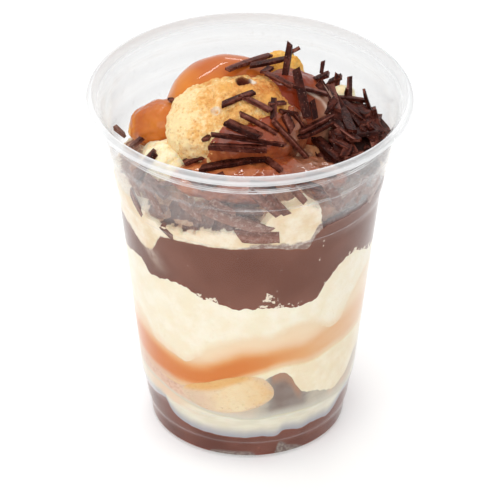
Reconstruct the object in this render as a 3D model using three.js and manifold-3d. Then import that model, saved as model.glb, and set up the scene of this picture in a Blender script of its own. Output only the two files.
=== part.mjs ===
// A layered cream-puff sundae in a clear plastic cup.
// Millimetres, +Z up, origin at the middle of the cup's base. Angles run round the cup from its front
// (-Y), positive towards +X.
import * as THREE from 'three';
import { mergeVertices } from 'three/addons/utils/BufferGeometryUtils.js';
import Module from 'manifold-3d';

const wasm = await Module();
wasm.setup();

// ---------------------------------------------------------------- driving dimensions

const CUP_HEIGHT = 110;
const LIP_RADIUS = 47.5;       // outside of the rolled lip
const LIP_ROLL = 1.6;          // radius of the lip's bead
const WALL = 0.7;
const FLOOR_TOP = 1.5;
const FOOT_RECESS = 0.8;       // hollow under the base
const FOOT_RING = 24;          // radius where that hollow ends
const PLAIN_BELOW = 5;         // height under which the inside has none of the outside's rings
const SHOULDER = 79.5;         // height of the stacking shoulder
const GAP = 0.3;               // clearance between touching pieces
const SET_BACK = 1.2;          // how far the loose top stays off the wall above the shoulder
const SHAVING_SINK = 0.35;     // how deep a shaving lies in what carries it
const SIDES = 32;
const REACH = 46;              // radius past the wall, where the cavity trims what fills it

// Outside of the cup: [height, radius], with a step at each moulded ring.
const WALL_STATIONS = [
  [0, 28.6], [0.7, 29.3], [5.9, 29.9], [6.7, 30.4], [14, 31.5], [16.5, 32.3],
  [SHOULDER, 38.8], [SHOULDER + 2.1, 39.4], [94.5, 41.8], [96, 42.3], [103, 43.4], [CUP_HEIGHT, 44.4],
];

// Interfaces between the layers: height on the axis, and heights at the wall as [angle, height].
const BASE_SAUCE_TOP = {
  middle: 11,
  wall: [[-100, 13.8], [-72, 13.4], [-61, 14.3], [-52, 15.5], [-50, 15.3], [-48, 12.6], [-43, 10.6],
    [-36, 9.5], [-25, 8.7], [-3, 8.5], [8, 8.7], [15, 8.4], [17.5, 8.8], [19.5, 10], [22, 10.2], [31, 9.1],
    [38, 9.6], [44, 9.6], [50, 8.8], [55, 9.6], [60, 11.8], [65, 13.5], [76, 13.8], [110, 12.8], [180, 11]],
};
const MILK_TOP = {
  middle: 17,
  wall: [[-90, 20.5], [-57, 21.2], [-40, 19.7], [-28, 18.3], [-12, 17], [4, 16.4], [18, 17.3], [44, 16.8],
    [60, 16.7], [68, 17.6], [76, 19.6], [95, 18.5], [180, 17.5]],
};
const SOAKED_TOP = {
  middle: 22,
  wall: [[-90, 26], [-71, 25.9], [-53, 25.3], [-39, 24.5], [-24, 25.3], [-8, 29.5], [6, 30.3], [11, 32.2],
    [18, 33.4], [22, 31.4], [26, 27], [30, 24.2], [37, 22.8], [46, 20.7], [51, 19.7], [60, 21.3],
    [65, 23.3], [72, 27], [90, 25], [180, 23]],
};
const CARAMEL_BOTTOM = {
  middle: 30,
  wall: [[-130, 27], [-84, 26.6], [-65, 26.2], [-39, 25.2], [-22, 26.9], [-14, 28.8], [-3, 32], [7, 34.2],
    [17, 36], [33, 35.6], [48, 37.3], [84, 37], [120, 33], [180, 29]],
};
const CARAMEL_TOP = {
  middle: 42,
  wall: [[-125, 44], [-90, 43], [-69, 42.1], [-61, 41.6], [-53, 37.9], [-39, 35.7], [-32, 35], [-26, 37.5],
    [-18, 41.3], [-8, 45.1], [-3, 46.6], [6, 46.6], [12, 46.4], [20, 48.6], [31, 49.6], [38, 47.2],
    [44, 45], [50, 46.4], [56, 51], [71, 56.5], [95, 53], [130, 45], [180, 47]],
};
const SAUCE_BOTTOM = {
  middle: 61,
  wall: [[-130, 63], [-90, 61], [-71, 63.8], [-58, 65.3], [-50, 62.1], [-35, 63.6], [-20, 61], [-6, 58.5],
    [0, 58.7], [16, 58.6], [25, 57.9], [33, 59.3], [38, 64], [50, 69.2], [58, 68.8], [72, 64], [100, 62],
    [140, 60], [180, 62.5]],
};
const SAUCE_TOP = {
  middle: 79,
  wall: [[-125, 75], [-90, 73], [-71, 74.4], [-61, 73], [-53, 71], [-47, 72], [-42, 77.7], [-38, 79.2],
    [-20, 80.4], [3, 81.2], [14, 80.6], [26, 78.9], [30, 83.7], [35, 85.4], [50, 85.8], [71, 85.1],
    [85, 84], [120, 78], [180, 79.5]],
};
const CREAM_TOP = {
  piled: true,
  middle: 98,
  steepening: 4,               // it stays level under the mound and falls off towards the wall
  rings: [0.52, 0.68, 0.85],
  wall: [[-130, 86], [-90, 87], [-62, 87], [-35, 87], [-8, 87.5], [4, 88.5], [9, 94], [22, 97.5], [30, 94],
    [36, 90.5], [45, 90], [75, 89], [110, 91], [150, 88], [180, 90]],
};

// The looks of the cream under the mound.
const TOP_CREAM = { color: '#f5e8c6', roughness: 0.7 };

// Where the top cream is heaped against the buns: angle and radius, half its size, and its height.
const CREAM_PILE = { place: [-60, 28.5], half: [17, 5], height: 4.2 };
const UNDER_FLOOR = { middle: -5, wall: [[0, -5], [180, -5]] };

// From the bottom up: name, lower and upper interface, colour, roughness.
const LAYERS = [
  ['sauce_base', UNDER_FLOOR, BASE_SAUCE_TOP, '#6f443b', 0.4],
  ['milk_pool', BASE_SAUCE_TOP, MILK_TOP, '#e4dfc9', 0.4],
  ['soaked_cream', MILK_TOP, SOAKED_TOP, '#a08f80', 0.5],
  ['cream_lower', SOAKED_TOP, CARAMEL_BOTTOM, '#f2e6cb', 0.6],
  ['caramel_band', CARAMEL_BOTTOM, CARAMEL_TOP, '#de9258', 0.4],
  ['cream_middle', CARAMEL_TOP, SAUCE_BOTTOM, '#f7eed7', 0.6],
  ['sauce_band', SAUCE_BOTTOM, SAUCE_TOP, '#7a5043', 0.4],
];

// The bun at the bottom, pressed against the wall; lumps is its unevenness as a share of its size.
const LOW_BUN = {
  centre: [-2.9, -18.5, 26.3], half: [17.8, 17.6, 11], tilt: -18, lumps: 0.05,
  color: '#f0cd9b', roughness: 0.8,
};

// The mound, in the order in which its pieces give way to each other. tilt is in degrees about Y.
const MOUND = {
  bun_main: {
    centre: [-3.3, -3, 100.5], half: [20.7, 18, 14], lumps: 0.03, color: '#ecc07c', roughness: 0.8,
  },
  bun_caramel: {
    centre: [-6, 10, 98.6], half: [18.5, 13, 16.5], lumps: 0.012, color: '#c2763c', roughness: 0.25,
  },
  bun_glazed: {
    centre: [14.3, 3.5, 100.3], half: [15.5, 13, 11], tilt: 42, lumps: 0.02, detail: 2,
    color: '#8a5a45', roughness: 0.35,
  },
  bun_back: {
    centre: [9, 18, 102], half: [8, 9, 10], lumps: 0.03, detail: 2, color: '#f0b85c', roughness: 0.8,
  },
  bun_left: {
    centre: [-26, 4.8, 96.4], half: [9.5, 8, 6.2], tilt: -16, lumps: 0.04, detail: 2,
    color: '#e8b878', roughness: 0.6,
  },
  cream_dollop: {
    centre: [26.8, 14, 98.8], half: [5, 5.5, 4.5], lumps: 0.06, detail: 2, color: '#f5ebc8', roughness: 0.6,
  },
  caramel_pool: {
    centre: [3, -22, 94.5], half: [25, 12, 5], lumps: 0.03, color: '#8a3c18', roughness: 0.25,
  },
  shavings_heap: {
    centre: [28, 1, 92.5], half: [12, 18, 8.5], lumps: 0.05, detail: 2, color: '#4b2d2a', roughness: 0.5,
  },
};

// Holes in the main bun's crust.
const BUN_HOLES = [
  { centre: [-2, -2.6, 114.4], radius: 1.9 },
  { centre: [-9.9, -13, 111.2], radius: 1.1 },
];

// Shavings laid one by one: [x, y, z, heading, pitch, length, width].
const LAID_SHAVINGS = [
  // over the caramel bun and the back
  [-0.3, 8.7, 114.9, 46, -8, 18, 1.7], [5, 8, 115.2, 25, -2, 11, 1.9], [10.7, 5, 118, 68, 67, 11, 1.7],
  // over the glazed bun
  [8.4, -1.4, 115, -31, -10, 9, 1.7], [17.1, -1.7, 111.8, 25, -26, 12.5, 1.7],
  [14.9, -5, 112.5, -76, -32, 16, 2.2], [18.4, -6.4, 108, -74, -49, 5.5, 1.6],
  [20.8, 6.4, 111.4, 0, 26, 4.5, 2.1], [21.3, 6.3, 108.1, -63, -22, 4.6, 1.8],
  [23, -1.9, 106.3, 50, 23, 6.5, 2.1], [19.1, -8.8, 104.7, 41, 3, 12.5, 1.6],
  [18.5, -10.1, 103.4, 37, 5, 11.5, 2.5],
  // over the cream dollop and the heap at the right
  [24.9, 17.5, 103.8, 0, 31, 4.5, 2], [25.5, 16.8, 103.7, 79, 62, 4.5, 1.6],
  [27.7, -0.8, 102, -76, -2, 15, 2.8], [32.2, 2.1, 101, -46, -12, 18, 1.9],
  [30.2, 9.8, 101.9, 18, -17, 9, 1.5], [34.4, 9, 101.5, 0, -72, 7.4, 1.7], [37, 4, 98.5, 10, -77, 8, 2.5],
  [32.8, 5.1, 100.5, -81, 3, 10, 2.1], [27.3, -7, 101.4, -45, -13, 10.5, 2.6],
  [22.1, -12, 98.5, -49, -14, 10.5, 2.8], [26.2, -11.3, 99.7, -37, -7, 6.4, 2.2],
  [34.2, -5.4, 99.8, -20, -27, 5.2, 1.8],
  // over the main bun
  [10.5, -16.2, 105.5, 3, -52, 12, 2.2], [11.1, -13.6, 108.1, -43, -52, 5, 2.4],
  [14.5, -10.1, 106.1, -5, -56, 6.2, 1.8], [11.4, -10.4, 109.3, 27, -25, 6.1, 1.5],
  [6.8, -11.7, 111.4, -92, -22, 7.5, 1.6], [7.8, -9.3, 111.8, 32, -13, 5.7, 1.3],
  [1.6, -11.7, 113.3, -22, -17, 9.9, 1.8], [-3.4, -10.7, 114.2, 28, 8, 10.5, 1.9],
  [2.6, -17.3, 109.8, -11, -26, 12, 1.7], [-1.8, -19.5, 109.2, -13, -19, 10.5, 2.8],
  [-0.4, -20.5, 106.4, 3, -11, 21.5, 1.6], [-3.3, -22, 104.5, -1, -2, 16.5, 2.5],
  // over the pool in front and the cream at the left
  [-15.2, -18.4, 98.6, 4, 22, 7.8, 2.2], [-4.6, -22.9, 100, 11, 4, 19, 2.4],
  [6.7, -23.4, 100, -51, -4, 7.8, 1.9], [-38.3, 8, 91.5, 0, -45, 4.5, 2],
  [-32.8, -4.1, 95, 0, 43, 4.5, 2.1],
];

// Shavings strewn by rule: how many, over which angles and radii.
const STREWN_SHAVINGS = [
  { count: 10, angles: [-76, 62], radii: [31, 36], seed: 3 },
  { count: 7, angles: [62, 150], radii: [22, 38], seed: 11 },
  { count: 4, angles: [150, 215], radii: [26, 36], seed: 23 },
];
const STREWN_LENGTH = [6, 13];
const STREWN_WIDTH = [1.4, 2.8];

// ---------------------------------------------------------------- numbers

const { lerp, degToRad, radToDeg, clamp } = THREE.MathUtils;

const angleOf = (x, y) => radToDeg(Math.atan2(x, -y));

// Radius of the cup's outside at a height.
function wallRadius(height) {
  const above = WALL_STATIONS.findIndex(([z]) => z >= height);
  if (above < 0) return WALL_STATIONS.at(-1)[1];
  if (above === 0) return WALL_STATIONS[0][1];
  const [z0, r0] = WALL_STATIONS[above - 1];
  const [z1, r1] = WALL_STATIONS[above];
  return THREE.MathUtils.mapLinear(height, z0, z1, r0, r1);
}

// Height of an interface at the wall: a smooth closed curve through its stations, sorted by angle.
function wallHeight(stations, angle) {
  const count = stations.length;
  const station = (i) => {
    const turn = Math.floor(i / count);
    const [stationAngle, height] = stations[i - turn * count];
    return [stationAngle + turn * 360, height];
  };
  let i = -1;
  while (station(i + 1)[0] <= angle) i += 1;
  const [before, start, end, after] = [i - 1, i, i + 1, i + 2].map(station);
  const span = end[0] - start[0];
  const t = (angle - start[0]) / span;
  const slopeIn = (end[1] - before[1]) / (end[0] - before[0]) * span;
  const slopeOut = (after[1] - start[1]) / (after[0] - start[0]) * span;
  const bend = t * (1 - t) * ((1 - t) * slopeIn - t * slopeOut);
  return lerp(start[1], end[1], t * t * (3 - 2 * t)) + bend;
}

// How high the top cream is heaped over its level at a plan point.
function pile(x, y) {
  const { place, half, height } = CREAM_PILE;
  const spot = [angleOf(x, y), Math.hypot(x, y)];
  const [across, outward] = spot.map((value, axis) => (value - place[axis]) / half[axis]);
  return height * Math.exp(-across * across - outward * outward);
}

// Height of an interface anywhere between the axis and the wall.
function interfaceHeight(face, x, y) {
  const atWall = wallHeight(face.wall, angleOf(x, y));
  const share = Math.hypot(x, y) / (wallRadius(atWall) - WALL);
  const level = lerp(face.middle, atWall, share ** (face.steepening ?? 1));
  return face.piled ? level + pile(x, y) : level;
}

// A repeatable draw between 0 and 1.
function draw(seed, index, salt) {
  const wave = Math.sin(seed * 12.9898 + index * 78.233 + salt * 37.719) * 43758.5453;
  return wave - Math.floor(wave);
}

// ---------------------------------------------------------------- meshes and solids

// Merges shared vertices and drops the empty triangles that poles leave.
function weld(geometry) {
  geometry.deleteAttribute('normal');
  geometry.deleteAttribute('uv');
  const welded = mergeVertices(geometry, 1e-3);
  const corners = welded.index.array;
  const kept = [];
  for (let i = 0; i < corners.length; i += 3) {
    const [a, b, c] = corners.slice(i, i + 3);
    if (a !== b && b !== c && c !== a) kept.push(a, b, c);
  }
  welded.setIndex(kept);
  return welded;
}

function toSolid(geometry) {
  return new wasm.Manifold(new wasm.Mesh({
    numProp: 3,
    vertProperties: Float32Array.from(geometry.attributes.position.array),
    triVerts: Uint32Array.from(geometry.index.array),
  }));
}

// The triangles of the largest body, without the loose scraps that a cut may leave.
function largestBody(triangles, vertexCount) {
  const parent = Array.from({ length: vertexCount }, (_, i) => i);
  const root = (i) => {
    while (parent[i] !== i) i = parent[i];
    return i;
  };
  for (let i = 0; i < triangles.length; i += 3) {
    parent[root(triangles[i])] = root(triangles[i + 1]);
    parent[root(triangles[i + 1])] = root(triangles[i + 2]);
  }
  const bodies = new Map();
  for (let i = 0; i < triangles.length; i += 3) {
    const key = root(triangles[i]);
    if (!bodies.has(key)) bodies.set(key, []);
    bodies.get(key).push(...triangles.slice(i, i + 3));
  }
  return [...bodies.values()].sort((a, b) => b.length - a.length)[0];
}

function toGeometry(solid) {
  const mesh = solid.getMesh();
  const geometry = new THREE.BufferGeometry();
  geometry.setAttribute('position', new THREE.BufferAttribute(Float32Array.from(mesh.vertProperties), 3));
  geometry.setIndex(largestBody(mesh.triVerts, mesh.vertProperties.length / 3));
  return geometry;
}

// Moves every vertex of a geometry by a function of its place.
function reshape(geometry, move) {
  const position = geometry.attributes.position;
  for (let i = 0; i < position.count; i += 1) {
    position.setXYZ(i, ...move(position.getX(i), position.getY(i), position.getZ(i)));
  }
  return geometry;
}

// Turns a profile of [radius, height] about +Z.
function turned(profile) {
  const points = profile.map(([radius, height]) => new THREE.Vector2(radius, height));
  return weld(new THREE.LatheGeometry(points, SIDES).rotateX(Math.PI / 2));
}

// ---------------------------------------------------------------- cup

function lipProfile() {
  const BEAD_FROM = -110;
  const BEAD_TO = 90;
  const BEAD_STEP = 40;
  const points = [];
  for (let turn = BEAD_FROM; turn <= BEAD_TO; turn += BEAD_STEP) {
    points.push([
      LIP_RADIUS - LIP_ROLL + LIP_ROLL * Math.cos(degToRad(turn)),
      CUP_HEIGHT - LIP_ROLL + LIP_ROLL * Math.sin(degToRad(turn)),
    ]);
  }
  return points;
}

// Corner of the floor and the wall inside the cup, drawn in by a clearance.
const floorCorner = (clearance) => [wallRadius(FLOOR_TOP) - 2 * WALL - clearance, FLOOR_TOP + clearance];

function cupGeometry() {
  const lipBottom = CUP_HEIGHT - 2 * LIP_ROLL;
  const outside = WALL_STATIONS.filter(([z]) => z < lipBottom).map(([z, r]) => [r, z]);
  const inside = WALL_STATIONS.filter(([z]) => z > PLAIN_BELOW).map(([z, r]) => [r - WALL, z]);
  return turned([
    [0, FOOT_RECESS], [FOOT_RING, FOOT_RECESS], [FOOT_RING + 1, 0],
    ...outside, ...lipProfile(), ...inside.reverse(),
    floorCorner(0), [0, FLOOR_TOP],
  ]);
}

// The space inside the cup, clear of its wall by the gap and by a set-back above the shoulder.
function cavity(setBack = 0) {
  const HEADROOM = 20;
  const stations = WALL_STATIONS.filter(([z]) => z > PLAIN_BELOW);
  const side = stations.map(([z, r]) => [r - WALL - GAP - (z > SHOULDER ? setBack : 0), z]);
  const [mouthRadius] = side.at(-1);
  return toSolid(turned([
    [0, FLOOR_TOP + GAP], floorCorner(GAP), ...side,
    [mouthRadius, CUP_HEIGHT + HEADROOM], [0, CUP_HEIGHT + HEADROOM],
  ]));
}

// ---------------------------------------------------------------- layers

// A drum whose lids follow two interfaces, run out past the wall.
function layerBlank(lower, upper) {
  const rings = [1, ...(upper.rings ?? []).toReversed(), 0];
  const drum = turned([[0, 0], [1, 0], ...rings.map((share) => [share, 1])]);
  return toSolid(reshape(drum, (x, y, side) => {
    const [face, clearance] = side > 0.5 ? [upper, -GAP / 2] : [lower, GAP / 2];
    return [x * REACH, y * REACH, interfaceHeight(face, x * REACH, y * REACH) + clearance];
  }));
}

// ---------------------------------------------------------------- rounded pieces

// A shallow, repeatable unevenness over a ball's directions, between -1 and 1.
function lumpiness(x, y, z) {
  return (Math.sin(5 * x + 2 * z) + Math.sin(6 * y - 3 * x + 1) + Math.sin(7 * z + 4 * y + 2)) / 3;
}

// A rounded piece; grow swells it, to cut its neighbours with clearance.
function puff({ centre, half, tilt = 0, lumps, detail = 3 }, grow = 0) {
  const ball = weld(new THREE.IcosahedronGeometry(1, detail));
  reshape(ball, (...direction) => {
    const swell = 1 + lumps * lumpiness(...direction);
    return direction.map((share, axis) => share * (half[axis] * swell + grow));
  });
  return toSolid(ball.rotateY(degToRad(tilt)).translate(...centre));
}

function hole({ centre, radius }) {
  return toSolid(weld(new THREE.IcosahedronGeometry(radius, 1).translate(...centre)));
}

// Height of a rounded piece's upper side over a plan point, or -Infinity beside it.
function puffTop({ centre, half, tilt = 0 }, x, y) {
  const turn = new THREE.Matrix4().makeRotationY(-degToRad(tilt));
  const size = new THREE.Vector3(...half);
  const start = new THREE.Vector3(x - centre[0], y - centre[1], 0).applyMatrix4(turn).divide(size);
  const up = new THREE.Vector3(0, 0, 1).applyMatrix4(turn).divide(size);
  const [a, b, c] = [up.dot(up), start.dot(up), start.dot(start) - 1];
  const root = b * b - a * c;
  return root < 0 ? -Infinity : centre[2] + (Math.sqrt(root) - b) / a;
}

// The piece that is highest over a plan point, and its height there.
function carrierAt(x, y) {
  let carrier = { name: 'cream_top', height: interfaceHeight(CREAM_TOP, x, y) };
  for (const [name, shape] of Object.entries(MOUND)) {
    const height = puffTop(shape, x, y);
    if (height > carrier.height) carrier = { name, height };
  }
  return carrier;
}

// ---------------------------------------------------------------- shavings

// A flat, slightly curled stick of chocolate; grow swells it, to keep other pieces clear.
function shavingSolid({ centre, heading, pitch, long, wide }, grow = 0) {
  const THICKNESS = 0.55;      // share of the width
  const LEAST_THICKNESS = 0.8;
  const CURL = 0.04;           // rise of the middle as a share of the length
  const STRAIGHT_BELOW = 12;   // length under which it isn't curled
  const size = [long, wide, Math.max(wide * THICKNESS, LEAST_THICKNESS)].map((side) => side + 2 * grow);
  const stick = weld(new THREE.BoxGeometry(...size, long > STRAIGHT_BELOW ? 2 : 1, 1, 1));
  reshape(stick, (x, y, z) => [x, y, z - CURL * x * x / long]);
  stick.rotateY(-degToRad(pitch)).rotateZ(degToRad(heading)).translate(...centre);
  return toSolid(stick);
}

// A laid shaving comes down until one of its ends or its middle lies in what carries it.
function laidShaving([x, y, z, heading, pitch, long, wide]) {
  const NEAR_ENDS = 0.42;      // share of the length
  const [turn, rise] = [degToRad(heading), degToRad(pitch)];
  const supports = [-NEAR_ENDS, 0, NEAR_ENDS].map((share) => {
    const along = share * long * Math.cos(rise);
    const { name, height } = carrierAt(x + along * Math.cos(turn), y + along * Math.sin(turn));
    return { name, drop: z + share * long * Math.sin(rise) - height - wide / 4 + SHAVING_SINK };
  });
  const { name, drop } = supports.sort((a, b) => a.drop - b.drop)[0];
  return { carrier: name, centre: [x, y, z - Math.max(drop, 0)], heading, pitch, long, wide };
}

// Strewn shavings lie along the slope that carries them.
function strewnShaving({ count, angles, radii, seed }, index) {
  const STEEPEST = 60;
  const angle = degToRad(lerp(...angles, (index + draw(seed, index, 1)) / count));
  const radius = lerp(...radii, draw(seed, index, 2));
  const [x, y] = [radius * Math.sin(angle), -radius * Math.cos(angle)];
  const heading = 360 * draw(seed, index, 3);
  const { name, height } = carrierAt(x, y);
  const ahead = carrierAt(x + Math.cos(degToRad(heading)), y + Math.sin(degToRad(heading)));
  const wide = lerp(...STREWN_WIDTH, draw(seed, index, 5));
  return {
    carrier: name,
    centre: [x, y, height + wide / 4 - SHAVING_SINK],
    heading,
    pitch: clamp(radToDeg(Math.atan(ahead.height - height)), -STEEPEST, STEEPEST),
    long: lerp(...STREWN_LENGTH, draw(seed, index, 4)),
    wide,
  };
}

function strewnShavings() {
  return STREWN_SHAVINGS.flatMap(
    (patch) => Array.from({ length: patch.count }, (_, index) => strewnShaving(patch, index)),
  );
}

// ---------------------------------------------------------------- assembly

const group = new THREE.Group();

function addMesh(name, geometry, looks) {
  const mesh = new THREE.Mesh(geometry, new THREE.MeshStandardMaterial({ metalness: 0, ...looks }));
  mesh.name = name;
  group.add(mesh);
}

// Cuts a solid by each of its neighbours.
function cutBy(solid, neighbours) {
  return neighbours.reduce((left, neighbour) => left.subtract(neighbour), solid);
}

function addLayers() {
  const space = cavity();
  const grownBun = puff(LOW_BUN, GAP);
  for (const [name, lower, upper, color, roughness] of LAYERS) {
    const layer = layerBlank(lower, upper).intersect(space);
    addMesh(name, toGeometry(layer.subtract(grownBun)), { color, roughness });
  }
  const { color, roughness } = LOW_BUN;
  addMesh('bun_low', toGeometry(puff(LOW_BUN).intersect(space)), { color, roughness });
}

// Fuses each shaving to what carries it. It stays clear of shavings laid before it on other pieces, and of
// the pieces that give way to its carrier.
function fuseShavings(solids, grown) {
  const space = cavity(SET_BACK / 2);
  const names = Object.keys(solids);
  const laid = [];
  for (const shaving of [...LAID_SHAVINGS.map(laidShaving), ...strewnShavings()]) {
    const { carrier } = shaving;
    const yielding = names.slice(names.indexOf(carrier) + 1);
    const crossed = laid.filter((other) => other.carrier !== carrier);
    const stick = cutBy(
      shavingSolid(shaving).intersect(space),
      [...yielding.map((name) => grown[name]), ...crossed.map((other) => other.solid)],
    );
    solids[carrier] = solids[carrier].add(stick);
    laid.push({ carrier, solid: shavingSolid(shaving, GAP) });
  }
}

// The pieces of the mound and the cream under it: each gives way to those before it.
function addMound() {
  const space = cavity(SET_BACK);
  const cream = layerBlank(SAUCE_TOP, CREAM_TOP);
  const shapes = Object.entries(MOUND);
  const solids = Object.fromEntries(shapes.map(([name, shape]) => [name, puff(shape).intersect(space)]));
  const grown = Object.fromEntries(shapes.map(([name, shape]) => [name, puff(shape, GAP)]));
  solids.bun_main = cutBy(solids.bun_main, BUN_HOLES.map(hole));
  solids.cream_top = cream.intersect(space);
  fuseShavings(solids, { ...grown, cream_top: cream });
  Object.entries({ ...MOUND, cream_top: TOP_CREAM }).forEach(([name, { color, roughness }], index) => {
    const before = Object.values(grown).slice(0, index);
    addMesh(name, toGeometry(cutBy(solids[name], before)), { color, roughness });
  });
}

addMesh('cup', cupGeometry(), { color: '#f2f5f5', roughness: 0.1, transparent: true, opacity: 0.3 });
addLayers();
addMound();

export default group;
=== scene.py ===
"""Looks of a layered cream sundae in a clear plastic cup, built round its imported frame.

Lengths are in millimetres until a mesh is made. Angles are in degrees and run round the cup from its
front (-Y), positive towards +X.
"""

import math

import bmesh
import bpy
import numpy as np
from mathutils import Matrix, Vector, noise


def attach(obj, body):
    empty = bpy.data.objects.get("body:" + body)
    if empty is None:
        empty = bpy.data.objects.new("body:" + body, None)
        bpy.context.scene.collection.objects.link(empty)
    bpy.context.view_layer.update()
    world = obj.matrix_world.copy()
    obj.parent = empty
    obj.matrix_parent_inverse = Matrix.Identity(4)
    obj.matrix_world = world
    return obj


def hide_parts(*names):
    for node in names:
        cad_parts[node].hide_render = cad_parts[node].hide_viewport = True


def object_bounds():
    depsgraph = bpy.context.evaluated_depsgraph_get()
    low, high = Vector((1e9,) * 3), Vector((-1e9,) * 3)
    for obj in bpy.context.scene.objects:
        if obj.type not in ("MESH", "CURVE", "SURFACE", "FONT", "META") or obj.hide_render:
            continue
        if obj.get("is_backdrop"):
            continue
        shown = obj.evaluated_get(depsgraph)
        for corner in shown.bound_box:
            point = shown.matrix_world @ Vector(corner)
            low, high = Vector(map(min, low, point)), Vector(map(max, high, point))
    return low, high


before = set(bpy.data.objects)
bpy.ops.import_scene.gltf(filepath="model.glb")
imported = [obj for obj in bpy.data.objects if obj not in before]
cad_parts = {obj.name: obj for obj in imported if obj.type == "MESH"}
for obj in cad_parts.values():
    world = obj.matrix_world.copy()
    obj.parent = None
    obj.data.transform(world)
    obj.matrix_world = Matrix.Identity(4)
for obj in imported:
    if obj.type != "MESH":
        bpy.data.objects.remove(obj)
CAD_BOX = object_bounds()

MM = 0.001

# -------- the cup and its contents, as in the frame

CUP_HEIGHT = 110
LIP_RADIUS = 47.47
LIP_ROLL = 1.6
WALL = 0.7
LIP_BOTTOM = CUP_HEIGHT - 2 * LIP_ROLL
FLOOR_TOP = 1.5
FOOT_RECESS = 0.8
FOOT_RING = 24
SHOULDER = 79.5
SET_BACK = 1.2

# Outside of the cup: (height, radius), with a step at each moulded ring.
WALL_STATIONS = (
    (0, 28.6), (0.7, 29.3), (5.9, 29.9), (6.7, 30.4), (14, 31.5), (16.5, 32.3),
    (SHOULDER, 38.8), (SHOULDER + 2.1, 39.4), (94.5, 41.8), (96, 42.3), (103, 43.4), (CUP_HEIGHT, 44.4),
)

# The rings' light lines: height, strength.
RING_LINES = ((6.4, 0.16), (16.5, 0.14), (81.6, 0.2), (96, 0.3), (102.7, 0.6), (103.5, 0.4))

# Haze over the rolled lip, by turn from its outermost line up to its crest at 90.
LIP_HAZE = (
    (-110, 0.12), (-45, 0.25), (-36, 0.5), (-24, 0.55), (-15, 0.42), (-5, 0.62), (18, 0.62), (28, 0.4),
    (66, 0.4), (78, 0.62), (90, 0.66),
)
CLEAR_HAZE = 0.003

# Interfaces between the layers: height on the axis, and heights at the wall as (angle, height).
BASE_SAUCE_TOP = {
    "middle": 11, "ripple": 0.25,
    "wall": (
        (-100, 13.8), (-72, 13.4), (-61, 14.3), (-52, 15.5), (-50, 15.3), (-48, 12.6), (-43, 10.6),
        (-36, 9.5), (-25, 8.7), (-3, 8.5), (8, 8.7), (15, 8.4), (17.5, 8.8), (19.5, 10), (22, 10.2),
        (31, 9.1), (38, 9.6), (44, 9.6), (50, 8.8), (55, 9.6), (60, 11.8), (65, 13.5), (76, 13.8),
        (110, 12.8), (180, 11),
    ),
}
MILK_TOP = {
    "middle": 17, "ripple": 0.1,
    "wall": (
        (-90, 20.5), (-57, 21.2), (-40, 19.7), (-28, 18.3), (-12, 17), (4, 16.4), (18, 17.3), (44, 16.8),
        (60, 16.7), (68, 17.6), (76, 19.6), (95, 18.5), (180, 17.5),
    ),
}
SOAKED_TOP = {
    "middle": 22, "ripple": 0.5,
    "wall": (
        (-90, 26), (-71, 25.9), (-53, 25.3), (-39, 24.5), (-24, 25.3), (-8, 29.5), (6, 30.3), (11, 32.2),
        (18, 33.4), (22, 31.4), (26, 27), (30, 24.2), (37, 22.8), (46, 20.7), (51, 19.7), (60, 21.3),
        (65, 23.3), (72, 27), (90, 25), (180, 23),
    ),
}
CARAMEL_BOTTOM = {
    "middle": 30, "ripple": 0.15,
    "wall": (
        (-130, 27), (-84, 26.6), (-65, 26.2), (-39, 25.2), (-22, 26.9), (-14, 28.8), (-3, 32), (7, 34.2),
        (17, 36), (33, 35.6), (48, 37.3), (84, 37), (120, 33), (180, 29),
    ),
}
CARAMEL_TOP = {
    "middle": 42, "ripple": 0.4,
    "wall": (
        (-125, 44), (-90, 43), (-69, 42.1), (-61, 41.6), (-53, 37.9), (-39, 35.7), (-32, 35), (-26, 37.5),
        (-18, 41.3), (-8, 45.1), (-3, 46.6), (6, 46.6), (12, 46.4), (20, 48.6), (31, 49.6), (38, 47.2),
        (44, 45), (50, 46.4), (56, 51), (71, 56.5), (95, 53), (130, 45), (180, 47),
    ),
}
SAUCE_BOTTOM = {
    "middle": 61, "ripple": 0.6,
    "wall": (
        (-130, 63), (-90, 61), (-71, 63.8), (-58, 65.3), (-50, 62.1), (-35, 63.6), (-20, 61), (-6, 58.5),
        (0, 58.7), (16, 58.6), (25, 57.9), (33, 59.3), (38, 64), (50, 69.2),
        (58, 68.8), (72, 64), (100, 62), (140, 60), (180, 62.5),
    ),
}
SAUCE_TOP = {
    "middle": 79, "ripple": 0.45,
    "wall": (
        (-125, 75), (-90, 73), (-71, 74.4), (-61, 73), (-53, 71), (-47, 72), (-42, 77.7), (-38, 79.2),
        (-20, 80.4), (3, 81.2), (14, 80.6), (26, 78.9), (30, 83.7), (35, 85.4), (50, 85.8), (71, 85.1),
        (85, 84), (120, 78), (180, 79.5),
    ),
}
CREAM_TOP = {
    "middle": 98, "ripple": 0.9, "steepening": 4,
    "wall": (
        (-130, 86), (-90, 87), (-62, 87), (-35, 87), (-8, 87.5), (4, 88.5), (9, 94), (22, 97.5), (30, 94),
        (36, 90.5), (45, 90), (75, 89), (110, 91), (150, 88), (180, 90),
    ),
}
UNDER_FLOOR = {"middle": 1.2, "ripple": 0, "wall": ((0, 0.9), (180, 0.9))}

LOW_BUN = {"centre": (-2.9, -18.5, 26.3), "half": (17.8, 17.6, 11), "tilt": -18, "lumps": 0.05}

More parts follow.
